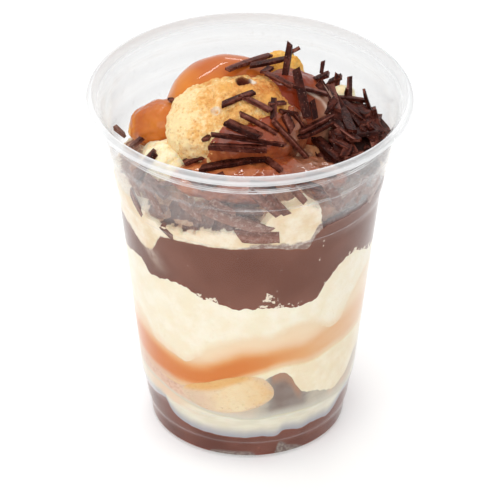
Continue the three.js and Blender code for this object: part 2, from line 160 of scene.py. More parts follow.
# The mound's pieces, as ellipsoids with lumps; tilt is in degrees about Y.
MOUND = {
    "bun_main": {"centre": (-3.3, -3, 100.5), "half": (20.7, 18, 14), "lumps": 0.03},
    "bun_caramel": {"centre": (-6, 10, 98.6), "half": (18.5, 13, 16.5), "lumps": 0.012},
    "bun_glazed": {"centre": (14.3, 3.5, 100.3), "half": (15.5, 13, 11), "tilt": 42, "lumps": 0.02},
    "bun_back": {"centre": (9, 18, 102), "half": (8, 9, 10), "lumps": 0.03},
    "bun_left": {"centre": (-26, 4.8, 96.4), "half": (9.5, 8, 6.2), "tilt": -16, "lumps": 0.04},
    "cream_dollop": {"centre": (26.8, 14, 98.8), "half": (5, 5.5, 4.5), "lumps": 0.06},
    "caramel_pool": {"centre": (3, -22, 94.5), "half": (25, 12, 5), "lumps": 0.03},
    "shavings_heap": {"centre": (28, 1, 92.5), "half": (12, 18, 8.5), "lumps": 0.05},
}

# Where the top cream is heaped against the buns: angle and radius, half its size, and its height.
CREAM_PILE = {"place": (-60, 28.5), "half": (17, 5), "height": 4.2}

# The main bun's bulge at its lower left, the holes in its crust and the dabs of cream: centre and radius.
BUN_BULGE = {"centre": (-17.5, -14, 101), "size": 7, "height": 2.6}
BUN_HOLES = (((-2, -2.6, 114.4), 1.9), ((-9.9, -13, 111.2), 1.1))
CREAM_DABS = (((0.6, -2, 114.6), 1.5), ((-9.7, -12.9, 111.4), 1.5))

# Painted highlight: a pale line along the glaze's edge at the right, where light catches it: points along
# it, and its half width.
GLAZE_HIGHLIGHT_LINE = ((14, -1, 112.6), (18.5, -1, 109.6), (21.5, -2, 106.6), (23.2, -4, 103.4), (24, -7, 100.5))
HIGHLIGHT_WIDTH = 0.8

# Where honey-coloured caramel has soaked into the main bun's crust: centre and radius.
HONEY_SPOTS = (
    ((-6.9, -5.1, 114.2), 2.3), ((-9.9, -13, 111.2), 0.8), ((-0.5, -6, 114), 1.8), ((6, -8, 112.6), 2.6),
)

# Shavings laid one by one: centre, heading, pitch, length and width.
LAID_SHAVINGS = (
    # over the caramel bun and the back
    ((-0.3, 8.7, 114.9), 46, -8, 18, 1.7), ((5, 8, 115.2), 25, -2, 11, 1.9),
    ((10.7, 5, 117.4), 68, 67, 10.7, 1.7), ((5, 4, 115), 56, 0, 3.6, 1.8),
    # over the glazed bun
    ((8.4, -1.4, 115), -31, -10, 9, 1.7), ((17.1, -1.7, 111.8), 25, -26, 12.5, 1.7),
    ((14.9, -5, 112.5), -76, -32, 16, 2.2), ((18.4, -6.4, 108), -74, -49, 5.5, 1.6),
    ((20.8, 6.4, 111.4), 0, 26, 4.5, 2.1), ((20.9, 6.7, 114.4), 76, 56, 3.7, 1),
    ((21.3, 6.3, 108.1), -63, -22, 4.6, 1.8), ((23, -1.9, 106.3), 50, 23, 6.5, 2.1),
    ((19.1, -8.8, 104.7), 41, 3, 12.5, 1.6), ((18.5, -10.1, 103.4), 37, 5, 11.5, 2.5),
    # over the cream dollop and the heap at the right
    ((24.9, 17.5, 103.8), 0, 31, 4.5, 2), ((25.5, 16.8, 103.7), 79, 62, 4.5, 1.6),
    ((28.2, 11.1, 103.5), 0, 78, 2.5, 1.2), ((27.7, -0.8, 102), -76, -2, 15, 2.8),
    ((32.2, 2.1, 101), -46, -12, 18, 1.9), ((30.2, 9.8, 101.9), 18, -17, 9, 1.5),
    ((34.4, 9, 101.5), 0, -72, 7.4, 1.7), ((37, 4, 98.5), 10, -77, 8, 2.5),
    ((32.8, 5.1, 100.5), -81, 3, 10, 2.1), ((27.3, -7, 101.4), -45, -13, 10.5, 2.6),
    ((22.1, -12, 98.5), -49, -14, 10.5, 2.8), ((26.2, -11.3, 99.7), -37, -7, 6.4, 2.2),
    ((28.1, -14, 98.8), -118, -26, 4, 2.4), ((34.2, -5.4, 99.8), -20, -27, 5.2, 1.8),
    # over the main bun
    ((12.3, -16.1, 103.1), 3, -52, 18.5, 2.2), ((11.1, -13.6, 108.1), -43, -52, 5, 2.4),
    ((14.5, -10.1, 106.1), -5, -56, 6.2, 1.8), ((11.4, -10.4, 109.3), 27, -25, 6.1, 1.5),
    ((6.8, -11.7, 111.4), -92, -22, 7.5, 1.6), ((7.8, -9.3, 111.8), 32, -13, 5.7, 1.3),
    ((1.6, -11.7, 113.3), -22, -17, 9.9, 1.8), ((-3.4, -10.7, 114.2), 28, 8, 10.5, 1.9),
    ((2.6, -17.3, 109.8), -11, -26, 12, 1.7), ((-1.8, -19.5, 109.2), -13, -19, 10.5, 2.8),
    ((-0.4, -20.5, 106.4), 3, -11, 21.5, 1.6), ((-3.3, -22, 104.5), -1, -2, 16.5, 2.5),
    ((-12.3, -18.8, 105.8), -10, 25, 2.2, 2.1),
    # over the pool in front and the cream at the left
    ((-15.2, -18.4, 98.6), 4, 22, 7.8, 2.2), ((-4.6, -22.9, 100), 11, 4, 19, 2.4),
    ((6.7, -23.4, 100), -51, -4, 7.8, 1.9), ((-22.1, 4.7, 104.2), 0, 1, 3, 1.4),
    ((-38.3, 8, 91.5), 0, -45, 4.5, 2), ((-32.8, -4.1, 95), 0, 43, 4.5, 2.1),
)

# Shavings strewn by rule: how many, over which angles and radii.
STREWN_SHAVINGS = (
    {"count": 10, "angles": (-76, 62), "radii": (31, 36), "seed": 3},
    {"count": 7, "angles": (62, 150), "radii": (22, 38), "seed": 11},
    {"count": 4, "angles": (150, 215), "radii": (26, 36), "seed": 23},
)
STREWN_LENGTH = (6, 13)
STREWN_WIDTH = (1.4, 2.8)

# -------- what only the looks have

STICK_STATIONS = 8             # rings of points along a shaving
STICK_CORNERS = 10             # points round each
INTO_WALL = 0.1                # how far into the wall the flakes on it lie
REACH = 0.45                   # how far the layers reach into the wall, so that no air shows
LOW_BUN_REACH = 0.55
SIDES = 540                    # steps round the layers
BUN_DETAIL = 6                 # how often the faces of a rounded piece are split, and those of the main bun
MAIN_BUN_DETAIL = 7

# Flakes flat against the inside of the wall: angle, height, turn, length, width, and how pale they are.
WALL_SHAVINGS = (
    (-4, 91, -20, 19, 3.2, 0.8), (4, 85.6, -4, 12, 4.2, 0.45), (-37, 81.8, -35, 5, 2.2, 0.3),
    (-55, 86, -50, 8, 1.8, 0.3), (6, 98.5, -48, 13, 2.2, 0.5), (11, 97.5, -52, 10, 2, 0.4),
    (19, 100.5, -55, 8, 1.8, 0.4), (36, 95.5, -60, 13, 2.6, 0.6), (45, 93, 20, 9, 1.8, 0.8),
    (52, 92.5, 62, 8, 1.6, 0.8), (58, 90, -30, 10, 2, 0.9), (64, 88, 40, 8, 2.2, 0.9),
    (-24, 93, -32, 8, 1.8, 1), (-42, 91.5, -58, 10, 2.2, 0.9), (-10, 96.5, -28, 8, 1.4, 0.7),
    (-54, 93.5, -48, 8, 1.6, 1),
)

# Round the cup: how rich the caramel is, how high its core runs over its lower edge, and how fast it fades.
CARAMEL_RICHNESS = (
    (-130, 0.8), (-84, 0.92), (-60, 1), (-35, 1), (-5, 1), (15, 0.66), (35, 0.44), (60, 0.32), (90, 0.36),
    (140, 0.7),
)
CARAMEL_CORE = (
    (-100, 8), (-64, 8), (-43, 6), (-26, 4.4), (-6, 5.6), (14, 4), (27, 4.6), (38, 6.5), (80, 8), (180, 6),
)
CARAMEL_SPREAD = ((-100, 3.6), (-60, 4), (-30, 4.4), (0, 4), (30, 3.4), (80, 3.6), (180, 3.6))

# Round the cup: how brown the soaked cream is, and how pink the pale cream over it.
SOAKED_STAIN = (
    (-100, 0.25), (-60, 0.12), (-20, 0.12), (7, 0.45), (14, 0.7), (24, 0.72), (32, 0.58), (44, 0.42),
    (60, 0.34), (85, 0.5), (120, 0.6), (180, 0.4),
)
PINK_STAIN = (
    (-120, 0.5), (-90, 0.8), (-60, 1), (-40, 0.9), (-22, 0.3), (-10, 0), (60, 0), (110, 0.4), (180, 0.1),
)

# Up to which height the top cream stays clean at the wall, and where sauce has wetted its lower edge.
TOP_CLEAN_HEIGHT = (
    (-110, 84), (-75, 87), (-60, 88.4), (-47, 84.6), (-35, 83.4), (-28, 83.9), (-21, 85.4), (-14, 86.2),
    (-7, 87), (0, 88), (5, 90), (9, 96), (22, 99.5), (29, 96), (33, 84), (45, 82), (90, 84), (150, 86),
    (200, 88),
)
WET_EDGE = (
    (-20, 0), (-5, 0.2), (2, 1.2), (10, 1.5), (24, 2.6), (30, 3.2), (38, 2), (50, 0.5), (90, 0), (180, 0.5),
)

# How thickly crumbs of cream stick in the chocolate band's lower edge.
CRUMB_EDGE = (
    (-120, 0.5), (-60, 0.5), (-48, 0.3), (-30, 0.3), (-24, 0.8), (-16, 0.85), (-8, 0.25), (0, 0.2),
    (6, 0.75), (20, 0.7), (30, 0.3), (38, 0.4), (44, 0.85), (70, 0.9), (120, 0.5), (180, 0.7),
)

# Up to which height the sauce has drawn off the foot.
FOOT_CLEAR = (
    (-150, 2), (-120, -1), (-60, -1), (-27, -1), (-21, 1.6), (-8, 2.2), (3, 2), (7, -1), (15, -1),
    (18, 4.6), (20, 5.2), (24, 3.4), (30, 2.2), (34, 1), (37, -1), (60, -1), (80, 2.5), (95, -1), (160, -1),
)

# Where caramel shows behind the wall above the shoulder: angle and height, and half the patch's size.
SYRUP_SPOTS = (
    ((-44, 95), (9, 3.5)), ((-12, 97), (15, 4)), ((36, 90), (6, 3)), ((62, 96), (8, 3)),
    ((150, 93), (14, 3)),
)

# How stained the top cream's upper side is round the cup.
LID_STAIN = (
    (-130, 0.2), (-100, 0.05), (-60, 0), (-30, 0.1), (0, 0.6), (60, 0.9), (110, 0.7), (160, 0.35),
    (190, 0.25),
)

# How foggy the wall above the shoulder is.
FOG = (
    (-130, 0.03), (-75, 0.1), (-40, 0.09), (-10, 0.07), (3, 0.05), (10, 0.02), (24, 0.02), (33, 0.1),
    (45, 0.15), (70, 0.14), (110, 0.04), (180, 0.03),
)

# Lower edge of the bare crust on the main bun's front; below it caramel has run over the crust: x, height.
RUN_EDGE = ((-17, 97), (-13, 103), (-6, 109.8), (4, 110.4), (12, 109.4), (18, 110))

# -------- numbers


def periodic(stations, angles):
    """A smooth closed curve through (angle, value) stations: a cubic with slopes from its neighbours."""
    at, value = np.array(sorted(stations), float).T
    at = np.concatenate([at[-2:] - 360, at, at[:3] + 360])
    value = np.concatenate([value[-2:], value, value[:3]])
    angles = (np.asarray(angles, float) - at[2]) % 360 + at[2]
    i = np.clip(np.searchsorted(at, angles, side="right") - 1, 1, len(at) - 3)
    span = at[i + 1] - at[i]
    t = (angles - at[i]) / span
    slope_in = (value[i + 1] - value[i - 1]) / (at[i + 1] - at[i - 1]) * span
    slope_out = (value[i + 2] - value[i]) / (at[i + 2] - at[i]) * span
    straight = value[i] + (value[i + 1] - value[i]) * t * t * (3 - 2 * t)
    return straight + t * (1 - t) * ((1 - t) * slope_in - t * slope_out)


def fractal(points, size, octaves=3, seed=0):
    """Fractal noise with features of about size mm, between about -1 and 1."""
    offset = Vector((17.3, 31.7, 5.9)) * seed
    return np.array([noise.fractal(Vector(p) / size + offset, 1, 2, octaves) for p in points])


def smoothstep(low, high, values):
    t = np.clip((np.asarray(values, float) - low) / (high - low), 0, 1)
    return t * t * (3 - 2 * t)


def draw(seed, index, salt):
    """A repeatable draw between 0 and 1, the same as in the part's source."""
    wave = math.sin(seed * 12.9898 + index * 78.233 + salt * 37.719) * 43758.5453
    return wave - math.floor(wave)


def lerp(low, high, share):
    return low + (high - low) * share


def polar(angles, radii, heights):
    """Points from angles round the cup, radii and heights."""
    angles = np.radians(angles)
    return np.stack([radii * np.sin(angles), -radii * np.cos(angles), heights + 0 * angles], axis=-1)


def angle_of(points):
    return np.degrees(np.arctan2(points[..., 0], -points[..., 1]))


def distance(points, place):
    return np.linalg.norm(points - np.array(place), axis=1)


def unit(vectors):
    return vectors / np.linalg.norm(vectors, axis=1, keepdims=True)


# -------- profile of the cup


def rounded_profile():
    """The wall's stations at fine heights, with each moulded step rounded off above the foot's edge."""
    STEP = 0.25
    SPREAD = 3
    REACH_STEPS = 2 * SPREAD
    EXACT_BELOW = 3
    heights = np.arange(0, CUP_HEIGHT + STEP, STEP)
    radii = np.interp(heights, *zip(*WALL_STATIONS))
    kernel = np.exp(-0.5 * (np.arange(-REACH_STEPS, REACH_STEPS + 1) / SPREAD) ** 2)
    padded = np.pad(radii, REACH_STEPS, mode="reflect", reflect_type="odd")
    smooth = np.convolve(padded, kernel / kernel.sum(), "valid")
    smooth[heights < EXACT_BELOW] = radii[heights < EXACT_BELOW]
    return heights, smooth


PROFILE = rounded_profile()


def wall_radius(heights):
    return np.interp(heights, *PROFILE)


def inner_radius(heights):
    return wall_radius(heights) - WALL


# -------- meshes


def make_piece(name, points, faces, looks, nodes, slot, shares, smooth=True):
    """A shown piece of the object from points in mm; shares are values kept at its points."""
    SHARP_FROM = 50
    mesh = bpy.data.meshes.new(name)
    mesh.from_pydata((np.asarray(points) * MM).tolist(), [], faces)
    mesh.polygons.foreach_set("use_smooth", [smooth] * len(mesh.polygons))
    for label, values in shares.items():
        attribute = mesh.attributes.new(label, "FLOAT", "POINT")
        attribute.data.foreach_set("value", np.asarray(values, np.float32))
    mesh.materials.append(looks)
    mesh.validate()
    mesh.set_sharp_from_angle(angle=math.radians(SHARP_FROM))
    obj = bpy.data.objects.new(name, mesh)
    bpy.context.scene.collection.objects.link(obj)
    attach(obj, "root")
    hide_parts(*nodes)


def ring_skin(start, rings, end):
    """Points and faces of a closed skin: a pole, rings of equal length from the bottom up, and a pole."""
    count = len(rings[0])
    points = np.vstack([start, *rings, end])
    last = 1 + (len(rings) - 1) * count
    around = [(i, (i + 1) % count) for i in range(count)]
    faces = [(0, 1 + j, 1 + i) for i, j in around]
    for ring in range(len(rings) - 1):
        low = 1 + ring * count
        faces += [(low + i, low + j, low + count + j, low + count + i) for i, j in around]
    faces += [(last + i, last + j, len(points) - 1) for i, j in around]
    return points, faces


def joined(parts):
    """Several (points, faces) as one."""
    points, faces, offset = [], [], 0
    for part_points, part_faces in parts:
        points.append(part_points)
        faces += [tuple(i + offset for i in face) for face in part_faces]
        offset += len(part_points)
    return np.vstack(points), faces


def ball(detail):
    """Directions and faces of a finely split icosahedron."""
    mesh = bmesh.new()
    bmesh.ops.create_icosphere(mesh, subdivisions=detail, radius=1)
    directions = np.array([v.co[:] for v in mesh.verts])
    faces = [tuple(v.index for v in face.verts) for face in mesh.faces]
    mesh.free()
    return directions, faces


# -------- materials


def rgb(red, green, blue):
    """A display colour of 0 to 255 as the linear colour that shaders take."""
    shares = np.array([red, green, blue]) / 255
    return (*np.where(shares <= 0.04045, shares / 12.92, ((shares + 0.055) / 1.055) ** 2.4).tolist(), 1)


class Looks:
    """A material whose principled shader is fed by short chains of nodes, painted coat over coat."""

    def __init__(self, name, **constants):
        self.material = bpy.data.materials.new(name)
        self.material.use_nodes = True
        self.tree = self.material.node_tree
        self.shader = self.tree.nodes["Principled BSDF"]
        for socket, value in constants.items():
            self.shader.inputs[socket.replace("_", " ")].default_value = value
        self.place = self.node("TexCoord").outputs["Object"]

    def node(self, kind, inputs=(), **settings):
        """A new node with its settings, and with a value or a socket for each named or counted input."""
        made = self.tree.nodes.new("ShaderNode" + kind)
        for key, value in settings.items():
            setattr(made, key, value)
        for socket, value in dict(inputs).items():
            self.plug(made.inputs[socket], value)
        return made

    def plug(self, socket, value):
        """Feeds a socket from another, or sets it."""
        if isinstance(value, bpy.types.NodeSocket):
            self.tree.links.new(value, socket)
        else:
            socket.default_value = value

    def texture(self, kind, size, stretch=(1, 1, 1), **inputs):
        """A texture with features of about size mm."""
        place = self.node("Mapping", {"Vector": self.place, "Scale": stretch}).outputs["Vector"]
        return self.node(kind, {"Vector": place, "Scale": 1 / (size * MM), **inputs})

    def noise(self, size, detail=3, roughness=0.5, stretch=(1, 1, 1)):
        return self.texture("TexNoise", size, stretch, Detail=detail, Roughness=roughness).outputs[0]

    def cells(self, size):
        """Distance to scattered points about size mm apart, in shares of that."""
        return self.texture("TexVoronoi", size).outputs["Distance"]

    def tones(self, size, stretch):
        """A tone for each of many straight-edged pieces about size mm wide."""
        return self.texture("TexVoronoi", size, stretch).outputs["Color"]

    def share(self, label):
        """A value kept at the piece's points; it is 0 on a piece without it."""
        return self.node("Attribute", attribute_name=label).outputs["Fac"]

    def facing(self, blend):
        return self.node("LayerWeight", {"Blend": blend}).outputs["Facing"]

    def math(self, operation, a, b):
        return self.node("Math", {0: a, 1: b}, operation=operation).outputs[0]

    def plus(self, a, b):
        return self.math("ADD", a, b)

    def times(self, a, b):
        return self.math("MULTIPLY", a, b)

    def varied(self, label, texture, reach):
        """A share from the piece's points, moved up and down by a texture."""
        return self.plus(self.share(label), self.times(self.math("SUBTRACT", texture, 0.5), reach))

    def step(self, value, low, high, to_low=0.0, to_high=1.0):
        """Value eased from to_low at low to to_high at high."""
        inputs = enumerate((value, low, high, to_low, to_high))
        return self.node("MapRange", inputs, interpolation_type="SMOOTHSTEP").outputs[0]

    def mix(self, share, a, b):
        return self.node("Mix", {0: share, 6: a, 7: b}, data_type="RGBA").outputs[2]

    def ramp(self, value, *stops):
        """Colours at shares of value, given as (share, colour)."""
        made = self.node("ValToRGB", {0: value})
        elements = made.color_ramp.elements
        while len(elements) < len(stops):
            elements.new(1)
        for element, (share, color) in zip(elements, stops):
            element.position = share
            element.color = color
        return made.outputs[0]

    def base(self, color):
        """Sets the colour under the coats of paint."""
        self.color = color
        self.plug(self.shader.inputs["Base Color"], color)

    def paint(self, share, color):
        """Lays a colour over what is painted so far, by a share or by the name of one at the points."""
        share = self.share(share) if isinstance(share, str) else share
        self.base(self.mix(share, self.color, color))

    def relief(self, height, depth):
        """Surface directions for a relief of up to depth mm."""
        return self.node("Bump", {"Height": height, "Distance": depth * MM}).outputs[0]

    def bump(self, height, depth):
        self.plug(self.shader.inputs["Normal"], self.relief(height, depth))


CARAMEL_THIN = rgb(243, 217, 184)
SOFT = {"Subsurface_Weight": 0.1, "Subsurface_Scale": 0.002}


def cream_looks(name, clean, deep):
    """Soft cream: pale, faintly mottled towards deep, with small air holes that are darkened towards deep as
    painted shade.
    """
    looks = Looks(
        name, Roughness=0.6, Specular_IOR_Level=0.3, Subsurface_Weight=0.15, Subsurface_Scale=0.002,
    )
    pores = looks.step(looks.cells(1.7), 0.06, 0.2)
    looks.base(looks.mix(looks.step(looks.noise(6, 4, 0.6), 0.35, 0.7), deep, clean))
    # painted shade: the air holes darkened towards deep
    looks.paint(looks.step(pores, 0, 1, 0.35, 0), deep)
    looks.bump(looks.plus(looks.times(looks.noise(0.9, 3, 0.7), 0.7), looks.times(pores, 0.3)), 0.3)
    return looks


def middle_cream_looks():
    """The cream over the caramel, which tints its lower edge."""
    looks = cream_looks("cream_soft", rgb(251, 242, 223), rgb(246, 233, 206))
    edge = looks.plus(looks.share("above"), looks.times(looks.noise(5), 3))
    looks.paint(looks.step(edge, 1.2, 5, 1, 0), CARAMEL_THIN)
    return looks.material


def lower_cream_looks():
    """The cream under the caramel: tinted along its upper edge, and pink where the sauces have soaked in."""
    looks = cream_looks("cream_low", rgb(252, 240, 215), rgb(245, 228, 196))
    veined = looks.varied("stain", looks.noise(2.4, 3, 0.7), 1.2)
    looks.paint(looks.step(veined, 0.1, 1), rgb(212, 162, 136))
    looks.paint(looks.step(looks.share("below"), 0, 1.1, 0.75, 0), rgb(241, 206, 156))
    return looks.material


def top_cream_looks():
    """Crumbly cream, brown where stained with sauce, grey where wetted and warm where caramel shines in."""
    looks = cream_looks("cream_crumbly", rgb(247, 235, 214), rgb(234, 210, 174))
    spots = looks.noise(2.2, 4, 0.65)
    sauce = looks.ramp(
        looks.plus(looks.times(looks.tones(5.5, (1, 1, 1.6)), 0.5), looks.times(spots, 0.5)),
        (0.3, rgb(106, 72, 62)), (0.44, rgb(146, 106, 90)), (0.54, rgb(172, 130, 106)),
        (0.62, rgb(200, 162, 134)), (0.74, rgb(222, 194, 164)),
    )
    looks.paint(looks.step(looks.varied("stain", spots, 0.6), 0.35, 0.62), sauce)
    damp = looks.step(looks.noise(1.2), 0.4, 0.62)
    looks.paint("wet", looks.mix(damp, rgb(146, 120, 110), rgb(190, 172, 160)))
    looks.paint("syrup", rgb(190, 126, 80))
    looks.paint("warm", looks.mix(looks.step(spots, 0.3, 0.6), rgb(252, 222, 166), rgb(255, 243, 206)))
    return looks.material


def caramel_band_looks():
    """Caramel that is deepest along its core and thins out into the cream."""
    looks = Looks("caramel_band", Roughness=0.3, Specular_IOR_Level=0.2, **SOFT)
    looks.base(looks.ramp(
        looks.varied("rich", looks.noise(9, stretch=(1, 1, 2.5)), 0.2),
        (0, CARAMEL_THIN), (0.25, rgb(236, 196, 156)), (0.5, rgb(230, 172, 118)), (0.75, rgb(222, 145, 82)),
        (1, rgb(216, 126, 60)),
    ))
    looks.paint("pink", rgb(222, 180, 154))
    return looks.material


def sauce_looks(name, deep, light, crumb):
    """Smooth chocolate sauce against the wall, with crumbs of cream, milky smears and thin patches."""
    looks = Looks(name, Roughness=0.35, Specular_IOR_Level=0.15)
    cloud = looks.noise(14)
    looks.base(looks.mix(looks.step(cloud, 0.3, 0.7), deep, light))
    edge = looks.math("MINIMUM", looks.share("above"), looks.share("below"))
    looks.paint(looks.step(edge, 0, 0.7, 0.6, 0), rgb(142, 78, 58))
    crumbs = looks.plus(looks.noise(1.5, 2, 0.6), looks.times(looks.share("crumbs"), 0.3))
    looks.paint(looks.step(crumbs, 0.72, 0.82), crumb)
    smear = looks.times(looks.share("smear"), looks.step(looks.noise(2.5), 0.3, 0.6, 0.3, 0.8))
    looks.paint(smear, rgb(196, 176, 162))
    fine = looks.step(looks.noise(0.8, 3, 0.7), 0.4, 0.6)
    looks.paint("thin", looks.mix(fine, rgb(118, 98, 92), rgb(158, 146, 138)))
    looks.bump(cloud, 0.1)
    return looks.material


def milk_looks():
    """Melted cream: a bluish grey edge below, a warmer one above, and peach where caramel has reached it."""
    looks = Looks(
        "melted_cream", Roughness=0.3, Specular_IOR_Level=0.2, Subsurface_Weight=0.2, Subsurface_Scale=0.003,
    )
    swirl = looks.noise(7, stretch=(1, 1, 3))
    looks.base(looks.mix(looks.step(swirl, 0.35, 0.65), rgb(228, 221, 200), rgb(238, 232, 213)))
    looks.paint(looks.step(looks.share("above"), 0, 4.8, 1, 0), rgb(172, 170, 177))
    looks.paint(looks.step(looks.share("below"), 0, 0.8, 0.6, 0), rgb(206, 194, 162))
    looks.paint("peach", rgb(234, 200, 170))
    return looks.material


def soaked_looks():
    """Cream soaked by the sauces: pale pink where clean, grey and brown where stained."""
    looks = Looks("soaked_cream", Roughness=0.4, Specular_IOR_Level=0.2, **SOFT)
    cloud = looks.noise(5, 4, 0.6)
    fine = looks.noise(1.1, 3, 0.7)
    looks.base(looks.ramp(
        looks.varied("stain", cloud, 0.5),
        (0, rgb(240, 212, 184)), (0.25, rgb(226, 196, 170)), (0.45, rgb(198, 188, 172)),
        (0.65, rgb(154, 142, 134)), (0.9, rgb(124, 102, 94)),
    ))
    stained = looks.step(looks.share("stain"), 0.6, 0.7)
    looks.paint(looks.times(looks.step(looks.share("below"), 1, 5, 0.95, 0), stained), rgb(178, 138, 114))
    pink = looks.times(looks.share("pink"), looks.step(cloud, 0.25, 0.6, 0.7, 1))
    low = looks.times(looks.step(looks.share("above"), 0, 3.5, 0.85, 0), looks.step(pink, 0, 1, 1, 0.3))
    looks.paint(low, rgb(216, 210, 196))
    looks.paint(pink, looks.mix(looks.step(fine, 0.35, 0.6), rgb(212, 164, 140), rgb(232, 196, 172)))
    specks = looks.times(looks.step(fine, 0.57, 0.66), looks.step(pink, 0.7, 1, 0, 0.8))
    looks.paint(specks, rgb(176, 100, 88))
    looks.bump(fine, 0.15)
    return looks.material


def choux_looks(name, pale, golden, toasted, grainy=1.0):
    """Dry porous crust: pale crumb, golden patches and toasted ridges, with fine open pores; its pores and
    pits are darkened with the toasted colour as painted shade.
    """
    looks = Looks(
        name, Roughness=0.75, Specular_IOR_Level=0.25, Subsurface_Weight=0.12, Subsurface_Scale=0.0015,
    )
    patches = looks.noise(7, 4, 0.6)
    grain = looks.noise(1.6, 5, 0.75)
    pores = looks.noise(0.6, 3, 0.8)
    pits = looks.step(looks.cells(1.3), 0.1, 0.34, 1, 0)
    grained = looks.times(looks.math("SUBTRACT", grain, 0.5), 1.5 * grainy)
    toast = looks.plus(looks.varied("toast", patches, 1.3), grained)
    looks.base(looks.ramp(toast, (0.1, pale), (0.5, golden), (0.95, toasted)))
    # painted shade: the pores and pits, sunk by the bump, darkened with the toasted colour
    looks.paint(looks.step(pores, 0.28, 0.42, 0.6 * grainy, 0), toasted)
    looks.paint(looks.times(pits, looks.step(patches, 0.4, 0.6, 0.1 * grainy, 0.5 * grainy)), toasted)
    looks.paint("soaked", rgb(236, 206, 178))
    looks.paint("dab", rgb(252, 246, 230))
    looks.paint("honey", rgb(238, 176, 92))
    # painted shade: the inside of the big hole, near black-brown
    looks.paint("hole", rgb(92, 32, 10))
    rough = looks.plus(looks.times(grain, 0.7), looks.times(pores, 0.3))
    looks.bump(looks.math("SUBTRACT", rough, looks.times(pits, 0.25)), 0.8)
    return looks.material


def caramel_coat_looks(name, fold, depth, thick=rgb(212, 120, 32)):
    """A thick caramel coat, lighter where its toast share is low: a thin film on the left bun's edge, and a
    painted glow low on the caramel bun; with folds of a size and depth in mm.
    """
    coat = {"Coat_Weight": 0.7, "Coat_Roughness": 0.06, "Coat_IOR": 1.4}
    looks = Looks(name, Roughness=0.35, Specular_IOR_Level=0.15, **coat, **SOFT)
    looks.base(looks.ramp(
        looks.varied("toast", looks.noise(10, 2, stretch=(1, 1, 0.5)), 0.8),
        (0, rgb(230, 166, 78)), (0.25, thick), (0.7, rgb(213, 126, 42)), (1, rgb(190, 98, 36)),
    ))
    looks.bump(looks.noise(fold, 1), depth)
    return looks.material


def glaze_looks():
    """Brown chocolate glaze over a choux bun, with caramel showing where it is thin."""
    coat = {"Coat_Weight": 0.3, "Coat_Roughness": 0.1, "Coat_IOR": 1.4}
    looks = Looks("chocolate_glaze", Roughness=0.4, Specular_IOR_Level=0.2, **coat)
    looks.base(looks.ramp(
        looks.varied("toast", looks.noise(6), 0.9),
        (0.1, rgb(150, 108, 86)), (0.45, rgb(146, 90, 64)), (0.7, rgb(148, 66, 30)),
        (0.95, rgb(132, 46, 16)),
    ))
    # painted highlight: a pale line along the glaze's edge
    looks.paint("ridge_highlight", rgb(226, 200, 182))
    looks.bump(looks.noise(2.5, 2), 0.4)
    return looks.material


def pool_looks():
    """Caramel and chocolate run together, dark red-brown, with thick glossy folds."""
    coat = {"Coat_Weight": 1, "Coat_Roughness": 0.04, "Coat_IOR": 1.45}
    looks = Looks("caramel_pool", Roughness=0.3, Specular_IOR_Level=0.15, **coat)
    runs = looks.noise(5)
    looks.base(looks.ramp(
        looks.varied("toast", runs, 1.1),
        (0.1, rgb(156, 108, 84)), (0.4, rgb(150, 86, 58)), (0.65, rgb(156, 74, 38)),
        (0.95, rgb(146, 54, 22)),
    ))
    # orange caramel low in front: partly its own colour, partly painted light lifting the shade it lies in
    looks.paint("orange_and_light", looks.mix(looks.step(runs, 0.35, 0.65), rgb(160, 78, 44), rgb(206, 122, 70)))
    looks.paint(looks.step(looks.noise(1.6, 2, stretch=(0.4, 1, 1)), 0.6, 0.72, 0, 0.5), rgb(206, 128, 78))
    looks.bump(looks.noise(2.2, 2), 0.9)
    return looks.material


def shaving_looks():
    """Dark chocolate with fine grooves, redder and lighter on worn faces, and frosted where it is pale; the
    lines along its corners are partly wear and partly painted sheen, and the heap's core is painted near
    black as shade.
    """
    looks = Looks("dark_chocolate", Roughness=0.35, Specular_IOR_Level=0.1)
    worn = looks.noise(2.2, 4, 0.7)
    pale = looks.share("pale")
    # lighter lines along the corners: partly worn edges, partly painted sheen
    light = looks.plus(looks.times(worn, 0.8), looks.times(looks.share("wear_and_sheen"), 0.4))
    looks.base(looks.ramp(
        looks.plus(light, looks.times(pale, 0.3)),
        (0.38, rgb(42, 12, 8)), (0.52, rgb(70, 27, 18)), (0.7, rgb(112, 60, 48)), (0.95, rgb(160, 112, 98)),
    ))
    looks.paint(looks.step(looks.noise(0.5, 1), 0.68, 0.75, 0, 0.5), rgb(176, 136, 120))
    # painted shade: the heap's core, near black, shows as the shade in the gaps between its sticks
    looks.paint("core", rgb(38, 14, 9))
    looks.paint(looks.times(pale, 0.8), rgb(152, 120, 108))
    frost = looks.step(looks.noise(1.3, 4, 0.8), 0.5, 0.68, 0, 0.75)
    looks.paint(looks.times(pale, frost), rgb(206, 188, 178))
    looks.plug(looks.shader.inputs["Roughness"], looks.step(worn, 0.3, 0.8, 0.25, 0.5))
    looks.bump(looks.noise(0.5), 0.25)
    return looks.material


